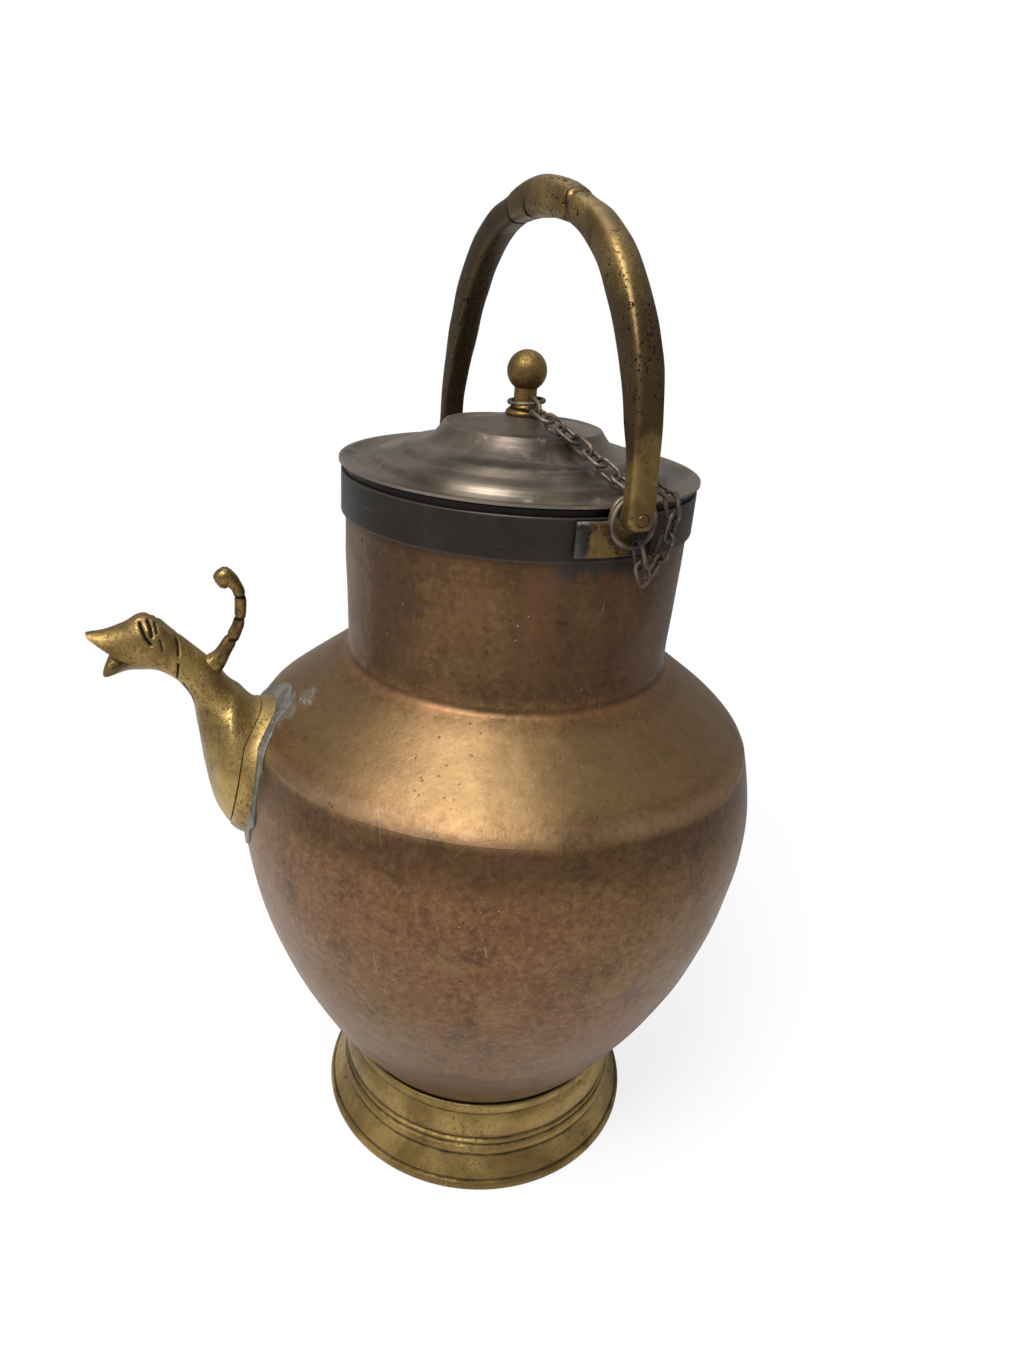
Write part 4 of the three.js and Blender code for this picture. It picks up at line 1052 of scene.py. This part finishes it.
def makeCamera():
    v = view
    pan, tilt, roll = v["pan"], v["tilt"], v["roll"]
    forward = Vector((math.sin(pan) * math.cos(tilt), math.cos(pan) * math.cos(tilt), -math.sin(tilt)))
    right = Vector((math.cos(pan), -math.sin(pan), 0))
    down = forward.cross(right)
    across = right * math.cos(roll) + down * math.sin(roll)
    below = -right * math.sin(roll) + down * math.cos(roll)
    turn = Matrix.Rotation(math.radians(v["turn"]), 4, "Z")
    axes = Matrix((across, -below, -forward)).transposed().to_4x4()
    data = bpy.data.cameras.new("photoCamera")
    data.lens = v["focal"] * data.sensor_width / v["frameHeight"]
    data.clip_start, data.clip_end = 0.01, 100
    camera = addObject("photoCamera", data)
    spot = turn @ Vector(v["place"]) + Vector((jugAxis, 0, 0))
    camera.matrix_world = Matrix.Translation(spot * mm) @ turn @ axes
    bpy.context.scene.camera = camera


def makeStage():
    f = Finish("paleFloor")
    seen = f.node("ShaderNodeLightPath", output="Is Camera Ray")
    far = 1 - f.near((0.0, 0.1, 0.0), 0.25, 0.85)
    shade = (1 - seen) * f.step(f.axes()[0], 0.20, 0.90) * 0.5  # the right side reflects a darker room
    ground = f.node("ShaderNodeBsdfDiffuse", Color=f.blend(shade, (0.86, 0.855, 0.85), (0.16, 0.155, 0.15)))
    glow = f.node("ShaderNodeEmission", Color=(1, 1, 1), Strength=1.0)
    mix = {0: seen * (0.80 + far * 0.20), 1: ground, 2: glow}
    f.end(f.node("ShaderNodeMixShader", sockets=mix))
    bm = bmesh.new()
    bmesh.ops.create_grid(bm, x_segments=2, y_segments=2, size=20)
    floor = addMesh("floor", bm)
    floor.data.materials.append(f.holder)


# place, aim and size in metres, and power in watts
lamps = {"keyPanel": ((-0.62, -0.72, 1.72), (0.02, 0, 0.25), 0.75, 40),
         "leftPanel": ((-1.5, -0.5, 0.9), (0, 0, 0.3), 0.7, 3),
         "topPanel": ((0.05, 0.45, 1.9), (0.03, 0, 0.3), 1.0, 9)}


def makeLight():
    for name, (place, aim, size, power) in lamps.items():
        data = bpy.data.lights.new(name, "AREA")
        data.size, data.energy = size, power
        turn = (Vector(aim) - Vector(place)).to_track_quat("-Z", "Y").to_matrix().to_4x4()
        addObject(name, data).matrix_world = Matrix.Translation(place) @ turn
    sky = Finish("studio", "worlds", "ShaderNodeOutputWorld")
    seen = sky.node("ShaderNodeLightPath", output="Is Camera Ray")
    glow = sky.node("ShaderNodeBackground", Color=(1, 1, 1), Strength=seen * 0.58 + 0.42)
    bpy.context.scene.world = sky.end(glow)


makeCamera()
makeStage()
makeLight()
bpy.context.scene.view_settings.view_transform = "Standard"
print("stage, light and camera made")
